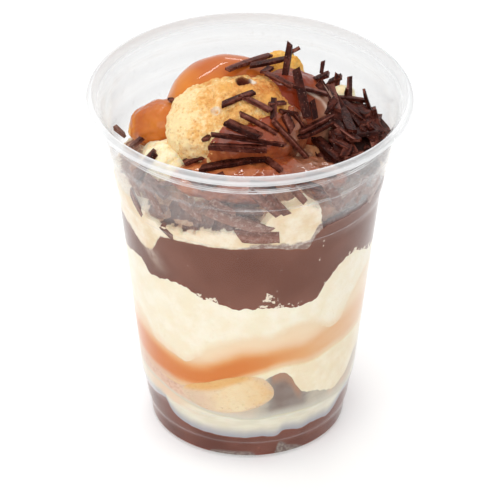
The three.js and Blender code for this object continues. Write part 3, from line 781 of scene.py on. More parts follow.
def plastic_looks():
    """Thin clear plastic: it mirrors by its angle, with a faint grey haze, more at its rings and lip."""
    # the second, greyer colour is painted on the bare back wall as painted shade
    CLEAR, SHADED_BEHIND = (0.922, 0.923, 0.92, 1), (0.845, 0.849, 0.851, 1)
    looks = Looks("clear_plastic")
    looks.tree.nodes.remove(looks.shader)
    clear = looks.node("BsdfTransparent", {"Color": looks.mix(looks.share("grey"), CLEAR, SHADED_BEHIND)})
    veil = looks.node("BsdfDiffuse", {"Color": rgb(238, 239, 240)})
    ripple = looks.relief(looks.noise(16, 2), 0.3)
    gloss = looks.node("BsdfGlossy", {"Color": (1, 1, 1, 1), "Roughness": 0.06, "Normal": ripple})
    edge = looks.step(looks.facing(0.35), 0.6, 1, 0, 0.13)
    cloud = looks.step(looks.noise(12, 5, 0.65), 0.3, 0.7, 0.75, 1.25)
    # beads of moisture as pale specks in the haze: partly real droplets, partly painted glints
    beads_and_glints = looks.step(looks.noise(1.6, 3, 0.7), 0.6, 0.7, 0, 2.5)
    fog = looks.times(looks.share("fog"), looks.plus(cloud, beads_and_glints))
    haze = looks.plus(looks.plus(edge, looks.share("haze")), fog)
    body = looks.node("MixShader", enumerate((haze, clear.outputs[0], veil.outputs[0])))
    mirrored = looks.plus(looks.times(looks.math("POWER", looks.facing(0.5), 5), 0.75), 0.006)
    whole = looks.node("MixShader", enumerate((mirrored, body.outputs[0], gloss.outputs[0])))
    looks.plug(looks.tree.nodes["Material Output"].inputs["Surface"], whole.outputs[0])
    return looks.material


# -------- cup


def lip_profile():
    """Radii and heights round the rolled lip, from under its outermost line up to its crest."""
    FROM, TO, STEP = -110, 90, 6.25
    turns = np.radians(np.arange(FROM, TO + 1, STEP))
    inward, down = LIP_ROLL * (1 - np.cos(turns)), LIP_ROLL * (1 - np.sin(turns))
    return list(zip(LIP_RADIUS - inward, CUP_HEIGHT - down))


def cup_haze(angles, radius, height):
    """How hazy the plastic is round a ring of its profile: its moulded rings, lip and bare parts."""
    LINE = 0.17                    # half the height of a ring's light line
    NEAR = 0.1
    FADE = (110, 75)               # the lines fade out towards the back
    if height > LIP_BOTTOM - NEAR and radius > wall_radius(height) - NEAR:
        turn = math.degrees(math.atan2(height - CUP_HEIGHT + LIP_ROLL, radius - LIP_RADIUS + LIP_ROLL))
        return np.interp(turn, *zip(*LIP_HAZE)) + 0 * angles
    line = max(math.exp(-(((height - ring) / LINE) ** 2)) * strength for ring, strength in RING_LINES)
    uneven = np.clip(1 + 0.9 * fractal(polar(angles, radius, height), 9), 0.3, 1.8)
    return CLEAR_HAZE + line * uneven * lerp(0.15, 1, smoothstep(*FADE, np.abs(angles)))


def cup_fog(angles, height):
    """Breath of moisture on the wall above the food that touches it."""
    FOG_FROM = (84, 89)
    FOG_TO = (CUP_HEIGHT, CUP_HEIGHT - 2)
    return smoothstep(*FOG_FROM, height) * smoothstep(*FOG_TO, height) * periodic(FOG, angles)


def cup_back_shade(points):
    """Where the bare back wall is painted greyer than the paper behind it, in soft bands: painted shade on
    the back of the cup.
    """
    BARE_FROM = (84, 90)
    BACK_FROM = (75, 110)
    BAND = 7
    bands = 0.85 + 0.15 * np.sin(2 * math.pi * (points[:, 2] - BARE_FROM[0]) / BAND)
    return smoothstep(*BARE_FROM, points[:, 2]) * smoothstep(*BACK_FROM, np.abs(angle_of(points))) * bands


def make_cup(looks):
    """The cup as one thin skin, inside and out."""
    CUP_SIDES = 192
    FINE_BELOW = 8                 # every height of the profile is used below this one and over the shoulder
    CORNER_TOP = FLOOR_TOP + 2 * WALL
    heights, radii = PROFILE
    fine = (np.arange(len(heights)) % 2 == 0) | (heights < FINE_BELOW) | (heights > SHOULDER)
    used = (heights < LIP_BOTTOM) & fine
    outside = list(zip(radii[used], heights[used]))
    inside = [(r - WALL, z) for r, z in outside if z > CORNER_TOP][::-1]
    corner = inner_radius(CORNER_TOP)
    foot = [(FOOT_RING, FOOT_RECESS), (FOOT_RING + 0.4, 0.5), (FOOT_RING + 1, 0)]
    floor = [(corner - 0.3, FLOOR_TOP + 0.5), (corner - 1, FLOOR_TOP)]
    profile = foot + outside + lip_profile() + inside + floor
    angles = np.linspace(-180, 180, CUP_SIDES, endpoint=False)
    rings = [polar(angles, radius, height) for radius, height in profile]
    points, faces = ring_skin((0, 0, FOOT_RECESS), rings, (0, 0, FLOOR_TOP))
    haze = np.concatenate([[CLEAR_HAZE], *(cup_haze(angles, *station) for station in profile), [CLEAR_HAZE]])
    fog = np.concatenate([[0], *(cup_fog(angles, height) for _, height in profile), [0]])
    # grey marks the painted shade on the back wall
    shares = {"haze": haze, "fog": fog, "grey": cup_back_shade(points)}
    make_piece("clear_cup", points, faces, looks, ["cup"], "cup_plastic", shares)


# -------- layers


def wall_heights(face, angles):
    """Heights of an interface at the wall, with its ripple."""
    heights = periodic(face["wall"], angles)
    if not face["ripple"]:
        return heights
    round_wall = polar(angles, inner_radius(heights), face["middle"])
    return heights + face["ripple"] * (fractal(round_wall, 4) + 0.6 * fractal(round_wall, 1.3, seed=2))


def face_ring(face, angles, share):
    """A ring of an interface, at a share of the way from the axis to the wall."""
    at_wall = wall_heights(face, angles)
    radii = share * (inner_radius(at_wall) + REACH)
    heights = lerp(face["middle"], at_wall, share ** face.get("steepening", 1))
    return polar(angles, radii, heights)


def make_layer(name, lower, upper, looks, slot, shares_at=None):
    """A layer that fills the cup between two interfaces; above and below are the distances to its edges."""
    ROWS = 18
    INNER_SHARES = (0.3, 0.6, 0.85, 0.96)
    THINNEST = 0.05
    angles = np.linspace(-180, 180, SIDES, endpoint=False)
    low, high = wall_heights(lower, angles), wall_heights(upper, angles)
    high = np.maximum(high, low + THINNEST)
    rings = [face_ring(lower, angles, share) for share in INNER_SHARES]
    for row in np.linspace(0, 1, ROWS):
        heights = lerp(low, high, row)
        rings.append(polar(angles, inner_radius(heights) + REACH, heights))
    rings += [face_ring(upper, angles, share) for share in reversed(INNER_SHARES)]
    points, faces = ring_skin((0, 0, lower["middle"]), rings, (0, 0, upper["middle"]))
    around = np.concatenate([[0], np.tile(np.arange(SIDES), len(rings)), [0]])
    heights = points[:, 2]
    above = np.clip(heights - low[around], 0, None)
    below = np.clip(high[around] - heights, 0, None)
    more = shares_at(angles[around], heights, above, below) if shares_at else {}
    make_piece(name, points, faces, looks, [name], slot, {"above": above, "below": below, **more})


def pink_at(angles):
    return np.clip(periodic(PINK_STAIN, angles), 0, 1)


def caramel_shares(angles, heights, above, below):
    """How rich the caramel is: even up to its core, then thinning out upwards; pink low down at the left."""
    over_core = np.clip(above - periodic(CARAMEL_CORE, angles), 0, None)
    glow = np.exp(-((over_core / periodic(CARAMEL_SPREAD, angles)) ** 2))
    rich = periodic(CARAMEL_RICHNESS, angles) * glow * lerp(0.3, 1, smoothstep(0, 2.8, above))
    pink = pink_at(angles) * smoothstep(-30, -48, angles) * smoothstep(3.2, 0.4, above)
    return {"rich": rich, "pink": 0.9 * pink}


def soaked_shares(angles, heights, above, below):
    stain = np.clip(periodic(SOAKED_STAIN, angles), 0, 1)
    return {"stain": stain, "pink": pink_at(angles) * smoothstep(0, 2, above)}


def milk_shares(angles, heights, above, below):
    uneven = 0.6 * fractal(polar(angles, inner_radius(heights), heights), 3, seed=15)
    at_left = spot(angles, 0 * heights, (-50, 0), (19, 1))
    return {"peach": 0.85 * smoothstep(4.6, 2.6, below + uneven) * at_left}


def lower_shares(angles, heights, above, below):
    return {"stain": pink_at(angles)}


def spot(angles, heights, centre, half):
    """A soft patch on the wall about a centre of angle and height."""
    return np.exp(-(((angles - centre[0]) / half[0]) ** 2) - ((heights - centre[1]) / half[1]) ** 2)


def band_shares(angles, heights, above, below):
    """Crumbs of cream in the chocolate band, a milky smear on it, and a thin pale line on it that is a
    painted highlight.
    """
    ragged = periodic(CRUMB_EDGE, angles) * np.exp(-((above / 1.7) ** 2))
    patch = spot(angles, heights, (10.5, 62), (4.5, 2.2))
    # painted highlight: a thin upright pale line, laid in with the crumbs
    highlight_streak = spot(angles - 0.25 * (heights - 78), heights, (34, 78), (0.7, 6)) * 0.45
    smear = spot(angles + 1.1 * (heights - 71), heights, (-49, 71), (4.5, 4))
    return {"crumbs": np.maximum(np.maximum(ragged, patch), highlight_streak), "smear": smear}


def base_shares(angles, heights, above, below):
    """Where the sauce at the bottom is speckled by cream, and where it has drawn off the foot."""
    speckled = spot(angles, heights, (-62, 18.5), (12, 2.5)) * 0.6
    thin = smoothstep(0.5, -0.4, heights - periodic(FOOT_CLEAR, angles))
    return {"crumbs": np.maximum(speckled, 0.4 * np.exp(-((below / 0.5) ** 2))), "thin": thin}


def make_layers(cream_low, cream_soft):
    brown = sauce_looks("chocolate_sauce", rgb(114, 72, 59), rgb(130, 86, 72), rgb(236, 222, 202))
    low_brown = sauce_looks("chocolate_sauce_low", rgb(104, 61, 51), rgb(130, 82, 70), rgb(182, 114, 100))
    make_layer("sauce_base", UNDER_FLOOR, BASE_SAUCE_TOP, low_brown, "chocolate_sauce", base_shares)
    make_layer("milk_pool", BASE_SAUCE_TOP, MILK_TOP, milk_looks(), "milk", milk_shares)
    make_layer("soaked_cream", MILK_TOP, SOAKED_TOP, soaked_looks(), "soaked_cream", soaked_shares)
    make_layer("cream_lower", SOAKED_TOP, CARAMEL_BOTTOM, cream_low, "cream", lower_shares)
    make_layer("caramel_band", CARAMEL_BOTTOM, CARAMEL_TOP, caramel_band_looks(), "caramel", caramel_shares)
    make_layer("cream_middle", CARAMEL_TOP, SAUCE_BOTTOM, cream_soft, "cream")
    make_layer("sauce_band", SAUCE_BOTTOM, SAUCE_TOP, brown, "chocolate_sauce", band_shares)


def pile(angles, radii):
    """How high the top cream is heaped over its level at places round the cup."""
    return CREAM_PILE["height"] * spot(angles, radii, CREAM_PILE["place"], CREAM_PILE["half"])


def top_level(angles, at_wall, share, radii):
    """Height of the top cream without its crumbs, at a share of the way from the axis to the wall."""
    return lerp(CREAM_TOP["middle"], at_wall, share ** CREAM_TOP["steepening"]) + pile(angles, radii)


def top_surface_height(x, y):
    """Height of the top cream without its crumbs, over a plan point."""
    angle = angle_of(np.array([x, y]))
    at_wall = periodic(CREAM_TOP["wall"], angle)
    radius = math.hypot(x, y)
    return float(top_level(angle, at_wall, radius / inner_radius(at_wall), radius))


def top_tints(points, stain):
    """Where caramel shows in the stained cream at the wall, and where it warms the heaped cream."""
    round_wall = angle_of(points), points[:, 2] + 1.5 * fractal(points, 4, seed=12)
    syrup = sum(spot(*round_wall, centre, half) for centre, half in SYRUP_SPOTS)
    wide_pile = [1.6 * half for half in CREAM_PILE["half"]]
    warm = spot(angle_of(points), np.hypot(points[:, 0], points[:, 1]), CREAM_PILE["place"], wide_pile)
    return {
        "syrup": np.clip(1.3 * syrup, 0, 0.9) * smoothstep(0.4, 0.8, stain),
        "warm": np.clip(1.3 * warm * smoothstep(91, 94, points[:, 2]), 0, 1),
    }


def top_side(angles, low, high):
    """The top cream's rings at the wall from the bottom up, each with how stained and how wet it is."""
    ROWS = 26
    OVER_SHOULDER = (SHOULDER, SHOULDER + 3)
    clean = periodic(TOP_CLEAN_HEIGHT, angles)
    wet_to = low + periodic(WET_EDGE, angles)
    for row in np.linspace(0, 1, ROWS):
        heights = lerp(low, high, row)
        at_wall = polar(angles, inner_radius(heights), heights)
        over = smoothstep(*OVER_SHOULDER, heights)
        uneven = 1.7 * fractal(at_wall, 2.6, 4, seed=14)
        stain = smoothstep(-0.4, 0.9, heights - clean + uneven)
        wet = smoothstep(0.5, -0.3, heights - wet_to + 0.4 * uneven)
        back = lerp(-REACH, SET_BACK + 0.8, stain * over)
        lumps = fractal(at_wall, 3, seed=5) * lerp(0.1, 0.6, stain) * over
        edge = 2.2 * smoothstep(0.8, 1, row) ** 2
        radii = np.minimum(inner_radius(heights) - back - edge + lumps, inner_radius(heights) + REACH)
        yield polar(angles, radii, heights), stain, wet


def top_lid(angles, high, rim, rim_stain):
    """The rings of its upper side from the rim inwards, each with how stained and wet it is."""
    SHARES = np.linspace(1, 0.05, 46)[1:]
    LEAST_RIM_STAIN = 0.8
    rim_radii = np.hypot(rim[:, 0], rim[:, 1])
    rim_stain = np.maximum(rim_stain, LEAST_RIM_STAIN)
    for share in SHARES:
        radii = rim_radii * share
        flat = polar(angles, radii, top_level(angles, high, share, radii))
        crumbs = 1.5 * fractal(flat, 5, seed=7) + 0.9 * fractal(flat, 1.6, seed=8)
        flat[:, 2] += crumbs * smoothstep(1, 0.94, share)
        at_rim = float(smoothstep(0.84, 0.93, share))
        yield flat, lerp(periodic(LID_STAIN, angles), rim_stain, at_rim), np.zeros(SIDES)


def make_top_cream(looks):
    """The crumbly cream under the mound, drawn back from the wall above the shoulder."""
    UNDER_SHARES = (0.3, 0.6, 0.9)
    MIDDLE_STAIN = 0.35
    angles = np.linspace(-180, 180, SIDES, endpoint=False)
    low, high = wall_heights(SAUCE_TOP, angles), wall_heights(CREAM_TOP, angles)
    clean = np.zeros(SIDES)
    under = [(face_ring(SAUCE_TOP, angles, share), clean, clean) for share in UNDER_SHARES]
    side = list(top_side(angles, low, high))
    rim, rim_stain, _ = side[-1]
    rings, stains, wets = zip(*under, *side, *top_lid(angles, high, rim, rim_stain))
    points, faces = ring_skin((0, 0, SAUCE_TOP["middle"]), rings, (0, 0, CREAM_TOP["middle"]))
    stain = np.concatenate([[0], *stains, [MIDDLE_STAIN]])
    shares = {"stain": stain, "wet": np.concatenate([[0], *wets, [0]]), **top_tints(points, stain)}
    make_piece("cream_top", points, faces, looks, ["cream_top"], "cream", shares)


# -------- buns and other rounded pieces


def pressed(points, clearance):
    """Points held inside the cup's wall, as far off it as clearance."""
    points = points.copy()
    limit = inner_radius(points[:, 2]) - clearance
    radius = np.hypot(points[:, 0], points[:, 1])
    points[:, :2] *= np.minimum(1, limit / np.maximum(radius, 1e-6))[:, None]
    return points


def lumpiness(directions):
    x, y, z = directions.T
    return (np.sin(5 * x + 2 * z) + np.sin(6 * y - 3 * x + 1) + np.sin(7 * z + 4 * y + 2)) / 3


def puff(shape, detail, relief):
    """Points and faces of a rounded piece; relief maps directions in mm to heights in mm."""
    directions, faces = ball(detail)
    half = np.array(shape["half"])
    swell = 1 + shape["lumps"] * lumpiness(directions)
    points = directions * half * swell[:, None]
    points += unit(directions / half) * relief(points)[:, None]
    turn = Matrix.Rotation(math.radians(shape.get("tilt", 0)), 3, "Y")
    return points @ np.array(turn).T + np.array(shape["centre"]), faces


def crust_relief(points):
    """Lumps, wrinkles and small craters of a baked choux crust."""
    craters = np.clip(fractal(points, 2.6, 2, seed=4) - 0.2, 0, 1)
    return 0.8 * fractal(points, 9, 2) + 0.5 * fractal(points, 1.8, seed=2) - 0.9 * craters


def smooth_relief(points):
    return 0.5 * fractal(points, 12, 2, seed=3)


def flowing_relief(points):
    return 0.8 * fractal(points, 7, seed=6)


def with_holes(points, centre):
    """Points of the main bun with pits sunk into its crust, each with a raised lip."""
    DEPTH = 1.2
    LIP = 0.25
    inward = unit(np.array(centre) - points)
    points = points.copy()
    for hole, radius in BUN_HOLES:
        away = distance(points, hole) / radius
        raised = LIP * np.exp(-(((away - 1 - LIP) / LIP) ** 2))
        sink = DEPTH * (1 - smoothstep(0.45, 1.15, away)) - raised
        points += inward * (radius * sink)[:, None]
    return points


def near(points, places, fade=(0.9, 1.5)):
    """Share from 0 to 1 of being close to one of several places with radii."""
    shares = [1 - smoothstep(*fade, distance(points, place) / radius) for place, radius in places]
    return np.max(shares, axis=0)


def ridge_highlight_share(points):
    """Share from 0 to 1 of lying under the painted highlight along the glaze's edge."""
    line = np.array(GLAZE_HIGHLIGHT_LINE, float)
    share = np.zeros(len(points))
    for start, end in zip(line, line[1:]):
        along = np.clip((points - start) @ (end - start) / ((end - start) @ (end - start)), 0, 1)
        away = distance(points, start + along[:, None] * (end - start))
        share = np.maximum(share, 1 - smoothstep(0.4, 1.4, away / HIGHLIGHT_WIDTH))
    return share


def make_main_bun(looks):
    """The bare bun in front: paler at the left, toasted on top and at the right."""
    shape = MOUND["bun_main"]
    points, faces = puff(shape, MAIN_BUN_DETAIL, crust_relief)
    x, _, z = points.T
    toast = 0.24 + 0.3 * smoothstep(106, 115, z) + 0.4 * smoothstep(-6, 11, x)
    shares = {
        "toast": toast - 0.16 * smoothstep(-12, -20, x),
        # hole marks where the big hole's inside is painted dark as shade
        "hole": near(points, BUN_HOLES[:1]),
        "dab": 0.85 * near(points, CREAM_DABS, (0.5, 1.2)),
        "honey": 0.8 * near(points, HONEY_SPOTS, (0.5, 1.3)),
    }
    points = with_holes(points, shape["centre"])
    away = distance(points, BUN_BULGE["centre"]) / BUN_BULGE["size"]
    bulge = BUN_BULGE["height"] * np.exp(-(away ** 2))
    points += unit(points - np.array(shape["centre"])) * bulge[:, None]
    make_piece("bun_main", points, faces, looks, ["bun_main"], "choux", shares)


def make_bun(name, looks, slot, relief, shares_at):
    """A rounded piece of the mound; shares_at gives the shares at its points."""
    points, faces = puff(MOUND[name], BUN_DETAIL, relief)
    points = pressed(points, SET_BACK)
    make_piece(name, points, faces, looks, [name], slot, shares_at(points))


def make_low_bun(looks):
    """The bun pressed against the wall, a little prouder than the cream around it, which soaks its edge."""
    STEEP_FROM, STEEP_TO = 6.6, 8.3
    points, faces = puff(LOW_BUN, BUN_DETAIL, smooth_relief)
    past = np.clip(points[:, 0] - STEEP_FROM, 0, None) / (STEEP_TO - STEEP_FROM)
    points[:, 0] = np.minimum(points[:, 0], STEEP_FROM) + (STEEP_TO - STEEP_FROM) * np.tanh(past)
    beyond = np.hypot(points[:, 0], points[:, 1]) - inner_radius(points[:, 2])
    points = pressed(points, -LOW_BUN_REACH)
    x, _, z = points.T
    uneven = fractal(points, 2.5)
    soaked = 0.8 * smoothstep(2, 0.4, beyond + 0.7 * uneven) * smoothstep(13, 6, x)
    soaked = np.maximum(soaked, smoothstep(-6, -15, x + 2 * uneven))
    soaked = np.maximum(soaked, 0.9 * smoothstep(20.5, 17.5, z + 0.6 * uneven))
    under_caramel = z - periodic(CARAMEL_BOTTOM["wall"], angle_of(points))
    honey = 0.75 * smoothstep(-2.4, 0, under_caramel) * smoothstep(5, -3, x)
    shares = {"toast": 0.1 + 0.55 * smoothstep(-12, 11, x), "soaked": soaked * (1 - honey), "honey": honey}
    make_piece("bun_low", points, faces, looks, ["bun_low"], "choux", shares)


def caramel_run():
    """Caramel that has run over the main bun's front: a skin over the crust below the run's edge."""
    THICK = 0.8
    SUNK = -2.2                    # how deep the skin lies under the crust where it doesn't show
    shape = MOUND["bun_main"]
    directions, faces = ball(BUN_DETAIL)
    points, _ = puff(shape, BUN_DETAIL, lambda p: 0.6 * fractal(p, 9, 2))
    x, y, z = points.T
    edge = np.interp(x, *zip(*RUN_EDGE)) + 1.6 * fractal(points, 4, 2, seed=9)
    covered = smoothstep(1.2, -0.8, z - edge) * smoothstep(-2, -7, y) * smoothstep(-18, -14, x)
    thick = lerp(SUNK, THICK + 0.5 * fractal(points, 3.5, 2, seed=10), covered)
    return points + unit(directions / np.array(shape["half"])) * thick[:, None], faces


def make_pool(looks):
    """The caramel in front of the main bun, with what has run over the bun."""
    folds, folds_faces = puff(
        MOUND["caramel_pool"], BUN_DETAIL, lambda p: flowing_relief(p) + 0.35 * fractal(p, 2.2, 2),
    )
    points, faces = joined([(pressed(folds, SET_BACK), folds_faces), caramel_run()])
    x, _, z = points.T
    shares = {
        "toast": 0.95 - 0.55 * smoothstep(3, 15, x),
        # orange low in front: partly real, partly painted light against its shade
        "orange_and_light": 0.9 * smoothstep(105, 101, z) * smoothstep(10, 3, x),
    }
    make_piece("caramel_pool", points, faces, looks, ["caramel_pool"], "caramel", shares)


def make_mound(cream_crumbly):
    """Every rounded piece on and in the cup; each is told how its colour runs over it."""
    crust = choux_looks("choux_crust", rgb(255, 228, 174), rgb(242, 186, 110), rgb(204, 120, 48))
    soft_crust = choux_looks(
        "choux_soaked", rgb(253, 230, 192), rgb(249, 216, 168), rgb(236, 190, 134), grainy=0.35,
    )
    gold_crust = choux_looks("choux_golden", rgb(250, 206, 120), rgb(240, 178, 80), rgb(204, 128, 40))
    coat = caramel_coat_looks("caramel_coat", 7, 0.3)
    folds = caramel_coat_looks("caramel_folds", 3, 1.2, rgb(204, 108, 14))
    make_main_bun(crust)
    make_low_bun(soft_crust)
    for name, looks, slot, relief, shares_at in (
        # the caramel bun is lighter low down: painted glow of light through its caramel
        ("bun_caramel", coat, "caramel_coat", smooth_relief,
         lambda p: {"toast": smoothstep(92, 116, p[:, 2])}),
        # the glazed bun gets a painted highlight along its right edge
        ("bun_glazed", glaze_looks(), "chocolate_glaze", flowing_relief,
         lambda p: {"toast": smoothstep(25, 15, p[:, 0]), "ridge_highlight": ridge_highlight_share(p)}),
        ("bun_back", gold_crust, "choux", crust_relief, lambda p: {"toast": np.full(len(p), 0.4)}),
        ("bun_left", folds, "caramel_coat", flowing_relief,
         lambda p: {"toast": -0.3 + 1.2 * smoothstep(-36, -33, p[:, 0])}),
        ("cream_dollop", cream_crumbly, "cream", flowing_relief, lambda p: {"warm": np.ones(len(p))}),
    ):
        make_bun(name, looks, slot, relief, shares_at)
    make_pool(pool_looks())


# -------- shavings


def puff_top(shape, x, y):
    """Height of a rounded piece's upper side over a plan point, or None beside it."""
    turn = Matrix.Rotation(-math.radians(shape.get("tilt", 0)), 3, "Y")
    half = shape["half"]
    start = turn @ Vector((x - shape["centre"][0], y - shape["centre"][1], 0))
    up = turn @ Vector((0, 0, 1))
    start = Vector([start[i] / half[i] for i in range(3)])
    up = Vector([up[i] / half[i] for i in range(3)])
    a, b, c = up.dot(up), start.dot(up), start.dot(start) - 1
    root = b * b - a * c
    return None if root < 0 else shape["centre"][2] + (math.sqrt(root) - b) / a


def carrier_height(x, y):
    """Height of what carries a shaving over a plan point."""
    tops = [puff_top(shape, x, y) for shape in MOUND.values()]
    return max([top_surface_height(x, y), *(top for top in tops if top is not None)])


def wear_and_sheen_lines(seed):
    """How light each point of a stick is: its corners run in lines of their own, partly worn edges and
    partly painted sheen, and its ends are light.
    """
    corners = [draw(seed, corner, 9) ** 2 for corner in range(STICK_CORNERS)]
    return np.array([1, *corners * STICK_STATIONS, 1])


def slope(x, y, heading, steepest):
    """Pitch in degrees of what lies under a stick with a heading, no more than the steepest allowed."""
    step = math.radians(heading)
    rise = carrier_height(x + math.cos(step), y + math.sin(step)) - carrier_height(x, y)
    return max(-steepest, min(steepest, math.degrees(math.atan(rise))))


def stick(long, wide, seed):
    """A curled, grooved stick of chocolate with broken ends, along X."""
    THICKNESS = 0.52
    LEAST_THICKNESS = 0.9
    CURL = 0.02
    TWIST = 18
    SLANT = 0.7
    TAPER = 0.14
    CORNERS = (
        (-0.52, -0.45), (-0.46, -0.52), (0.08, -0.46), (0.46, -0.54), (0.52, -0.44),
        (0.5, 0.43), (0.45, 0.52), (0.02, 0.43), (-0.44, 0.53), (-0.5, 0.45),
    )
    section = np.array(CORNERS) * (1.1 * wide, max(wide * THICKNESS, LEAST_THICKNESS))
    curl = lerp(0, CURL, draw(seed, 1, 1)) * (1 if draw(seed, 2, 1) > 0.3 else -1)
    twist = lerp(-TWIST, TWIST, draw(seed, 3, 1))
    slants = [lerp(-SLANT, SLANT, draw(seed, 4 + end, 1)) for end in range(2)]
    rings = []
    for station in range(STICK_STATIONS):
        share = station / (STICK_STATIONS - 1) - 0.5
        turn = math.radians(twist * share)
        size = 1 - lerp(0, TAPER, draw(seed, 6, 2)) * abs(2 * share) ** 3
        size *= lerp(0.96, 1.04, draw(seed, station, 7))
        across, up = (section * size).T
        y = across * math.cos(turn) - up * math.sin(turn)
        z = across * math.sin(turn) + up * math.cos(turn)
        x = share * long + slants[share > 0] * y * abs(2 * share) ** 6
        rings.append(np.stack([x, y, z - curl * long * (4 * share * share - 0.5)], axis=-1))
    return ring_skin(rings[0].mean(0), rings, rings[-1].mean(0))


def stick_at(centre, heading, pitch, long, wide, seed):
    points, faces = stick(long, wide, seed)
    turn = Matrix.Rotation(math.radians(heading), 3, "Z") @ Matrix.Rotation(-math.radians(pitch), 3, "Y")
    return points @ np.array(turn).T + np.array(centre), faces


def laid_sticks():
    for index, (centre, heading, pitch, long, wide) in enumerate(LAID_SHAVINGS):
        yield stick_at(centre, heading, pitch, long, wide, index)


def strewn_sticks():
    """Shavings strewn on the top cream and round the foot of the mound."""
    SINK = 0.35
    STEEPEST = 60
    for patch in STREWN_SHAVINGS:
        count, seed = patch["count"], patch["seed"]
        for index in range(count):
            angle = lerp(*patch["angles"], (index + draw(seed, index, 1)) / count)
            radius = lerp(*patch["radii"], draw(seed, index, 2))
            x, y, _ = polar(angle, radius, 0)
            heading = 360 * draw(seed, index, 3)
            long = lerp(*STREWN_LENGTH, draw(seed, index, 4))
            wide = lerp(*STREWN_WIDTH, draw(seed, index, 5))
            centre = (x, y, carrier_height(x, y) + wide / 4 - SINK)
            yield stick_at(centre, heading, slope(x, y, heading, STEEPEST), long, wide, 100 * seed + index)


def heaped_sticks():
    """Shavings piled over the heap at the right, mostly lying down its slopes."""
    COUNT = 30
    SEED = 41
    TURNS = 7                      # the places wind round the heap this often
    FILL = (0.95, 0.85)            # share of the heap's half size that they cover, along X and Y
    FORWARD = -3
    GLAZE_EDGE = (23, -10)         # it leaves free what lies left of and behind this plan point
    CROSSING_SHARE = 0.25
    DOWN, ACROSS = (-82, -48), (15, 50)
    STEEPEST, TILT = 45, 9
    LENGTH, WIDTH, LIFT = (10, 16), (2.1, 3.1), (-0.9, -0.1)
    shape = MOUND["shavings_heap"]
    for index in range(COUNT):
        turn = 2 * math.pi * (index + draw(SEED, index, 1)) / COUNT * TURNS
        reach = math.sqrt(draw(SEED, index, 2)) * FILL[0]
        x = shape["centre"][0] + shape["half"][0] * reach * math.cos(turn)
        y = shape["centre"][1] + FORWARD + FILL[1] * shape["half"][1] * reach * math.sin(turn)
        if x < GLAZE_EDGE[0] and y > GLAZE_EDGE[1]:
            continue
        crossing = draw(SEED, index, 8) > 1 - CROSSING_SHARE
        heading = lerp(*(ACROSS if crossing else DOWN), draw(SEED, index, 3))
        pitch = slope(x, y, heading, STEEPEST) + lerp(-TILT, TILT, draw(SEED, index, 4))
        long = lerp(*LENGTH, draw(SEED, index, 5))
        wide = lerp(*WIDTH, draw(SEED, index, 6))
        centre = (x, y, carrier_height(x, y) + lerp(*LIFT, draw(SEED, index, 7)))
        yield stick_at(centre, heading, pitch, long, wide, 2000 + index)


def wall_sticks():
    """Flakes flat against the wall: their width lies along it and their thickness across it."""
    up = Vector((0, 0, 1))
    for index, (angle, height, turn, long, wide, _) in enumerate(WALL_SHAVINGS):
        points, faces = stick(long, wide, 900 + index)
        angle, turn = math.radians(angle), math.radians(turn)
        outward = Vector((math.sin(angle), -math.cos(angle), 0))
        along = Vector((math.cos(angle), math.sin(angle), 0)) * math.cos(turn) + up * math.sin(turn)
        axes = np.array([along, along.cross(outward), outward])
        centre = outward * (inner_radius(height) + INTO_WALL) + height * up
        yield points @ axes + np.array(centre), faces


def make_shavings(looks):
    """Every loose shaving in one piece, with the heap's own core under them, painted near black as shade in
    the gaps.
    """
    CORE_SHARE = 0.86
    CORE_DETAIL = 5
    LOOSE_CLEARANCE = 0.25
    heap = MOUND["shavings_heap"]
    core_half = [CORE_SHARE * half for half in heap["half"]]
    core, core_faces = puff({**heap, "half": core_half}, CORE_DETAIL, smooth_relief)
    core = pressed(core, SET_BACK + 1)
    loose = [*laid_sticks(), *strewn_sticks(), *heaped_sticks()]
    loose = [(pressed(points, LOOSE_CLEARANCE), faces) for points, faces in loose]
    flat = [(pressed(points, -REACH - INTO_WALL), faces) for points, faces in wall_sticks()]
    points, faces = joined([(core, core_faces), *loose, *flat])
    pale = 0.6 * smoothstep(98, 93, points[:, 2]) * smoothstep(30, 36, np.hypot(points[:, 0], points[:, 1]))
    pale_flakes = np.repeat([share for *_, share in WALL_SHAVINGS], len(flat[0][0]))
    pale[-len(pale_flakes):] = pale_flakes
    wear_and_sheen = [np.zeros(len(core)), *(wear_and_sheen_lines(index) for index in range(len(loose) + len(flat)))]
    # core marks the heap's core, which is painted near black as shade
    shares = {"pale": pale, "wear_and_sheen": np.concatenate(wear_and_sheen), "core": np.arange(len(points)) < len(core)}
    make_piece(
        "chocolate_shavings", points, faces, looks, ["shavings_heap"], "shavings", shares, smooth=False,
    )


# -------- stage, light and camera


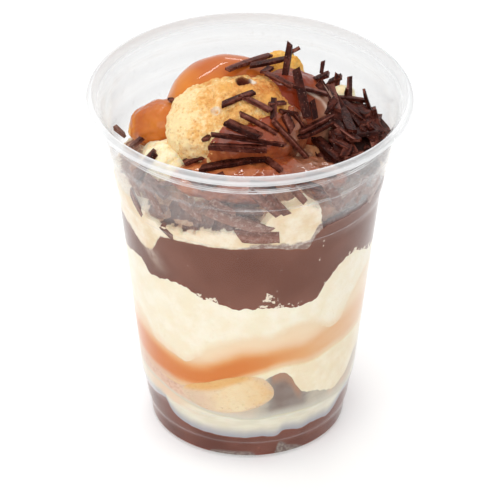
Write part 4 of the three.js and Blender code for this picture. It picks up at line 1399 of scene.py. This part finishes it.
def make_floor():
    SIZE = 3
    mesh = bpy.data.meshes.new("floor")
    corners = [(x * SIZE, y * SIZE, 0) for x, y in ((-1, -1), (1, -1), (1, 1), (-1, 1))]
    mesh.from_pydata(corners, [], [(0, 1, 2, 3)])
    looks = Looks("floor_paper", Roughness=0.9, Emission_Color=(1, 1, 1, 1), Emission_Strength=0.14)
    looks.base(looks.mix(looks.noise(60), rgb(248, 248, 248), rgb(250, 250, 250)))
    mesh.materials.append(looks.material)
    floor = bpy.data.objects.new("floor", mesh)
    bpy.context.scene.collection.objects.link(floor)
    floor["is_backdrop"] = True


def area_light(name, place, size, power):
    """A soft box at a place in metres, facing the cup."""
    AIM = Vector((0, 0, 0.06))
    data = bpy.data.lights.new(name, "AREA")
    data.shape = "RECTANGLE"
    data.size, data.size_y = size
    data.energy = power
    light = bpy.data.objects.new(name, data)
    light.location = place
    light.rotation_euler = (AIM - Vector(place)).to_track_quat("-Z", "Y").to_euler()
    bpy.context.scene.collection.objects.link(light)


def make_light():
    """An even white room, a key light in front, and two strips behind that shine in the caramel."""
    ROOM_STRENGTH = 0.86
    world = bpy.data.worlds.new("studio")
    world.use_nodes = True
    room = world.node_tree.nodes["Background"].inputs
    room["Color"].default_value = (1, 1, 1, 1)
    room["Strength"].default_value = ROOM_STRENGTH
    bpy.context.scene.world = world
    area_light("key", (-0.5, -1.3, 1.0), (1.6, 1.2), 8)
    area_light("strip", (-0.35, 0.32, 1.15), (1.0, 0.05), 3.2)
    area_light("window", (0.2, 1.1, 0.85), (0.5, 0.12), 1.6)


def make_camera():
    """The photograph's camera, fitted to the cup's rings in its 500 px frame."""
    FRAME_PIXELS = 500
    FOCAL_PIXELS = 3701.27
    SENSOR = 36
    DISTANCE = 1.1
    ELEVATION = math.radians(33.405)
    ROLL = math.radians(0.42)
    TARGET = Vector((0.36, 0, 55.194)) * MM
    CLIP = (0.05, 20)
    data = bpy.data.cameras.new("camera")
    data.sensor_width = SENSOR
    data.lens = SENSOR * FOCAL_PIXELS / FRAME_PIXELS
    data.clip_start, data.clip_end = CLIP
    camera = bpy.data.objects.new("camera", data)
    turn = Matrix.Rotation(math.pi / 2 - ELEVATION, 4, "X") @ Matrix.Rotation(ROLL, 4, "Z")
    back = Vector((0, -math.cos(ELEVATION), math.sin(ELEVATION)))
    camera.matrix_world = Matrix.Translation(TARGET + back * DISTANCE) @ turn
    bpy.context.scene.collection.objects.link(camera)
    bpy.context.scene.camera = camera


def write_sizes():
    """The CAD model's box and the visual model's, set side by side in a table that is not kept."""
    boxes = {"cad": CAD_BOX, "visual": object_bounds()}
    {name: [list(corner) for corner in box] for name, box in boxes.items()}


# -------- assembly

bpy.context.scene.view_settings.view_transform = "Standard"
make_camera()
make_light()
make_floor()
make_cup(plastic_looks())
cream_crumbly = top_cream_looks()
make_layers(lower_cream_looks(), middle_cream_looks())
make_top_cream(cream_crumbly)
make_mound(cream_crumbly)
make_shavings(shaving_looks())
write_sizes()
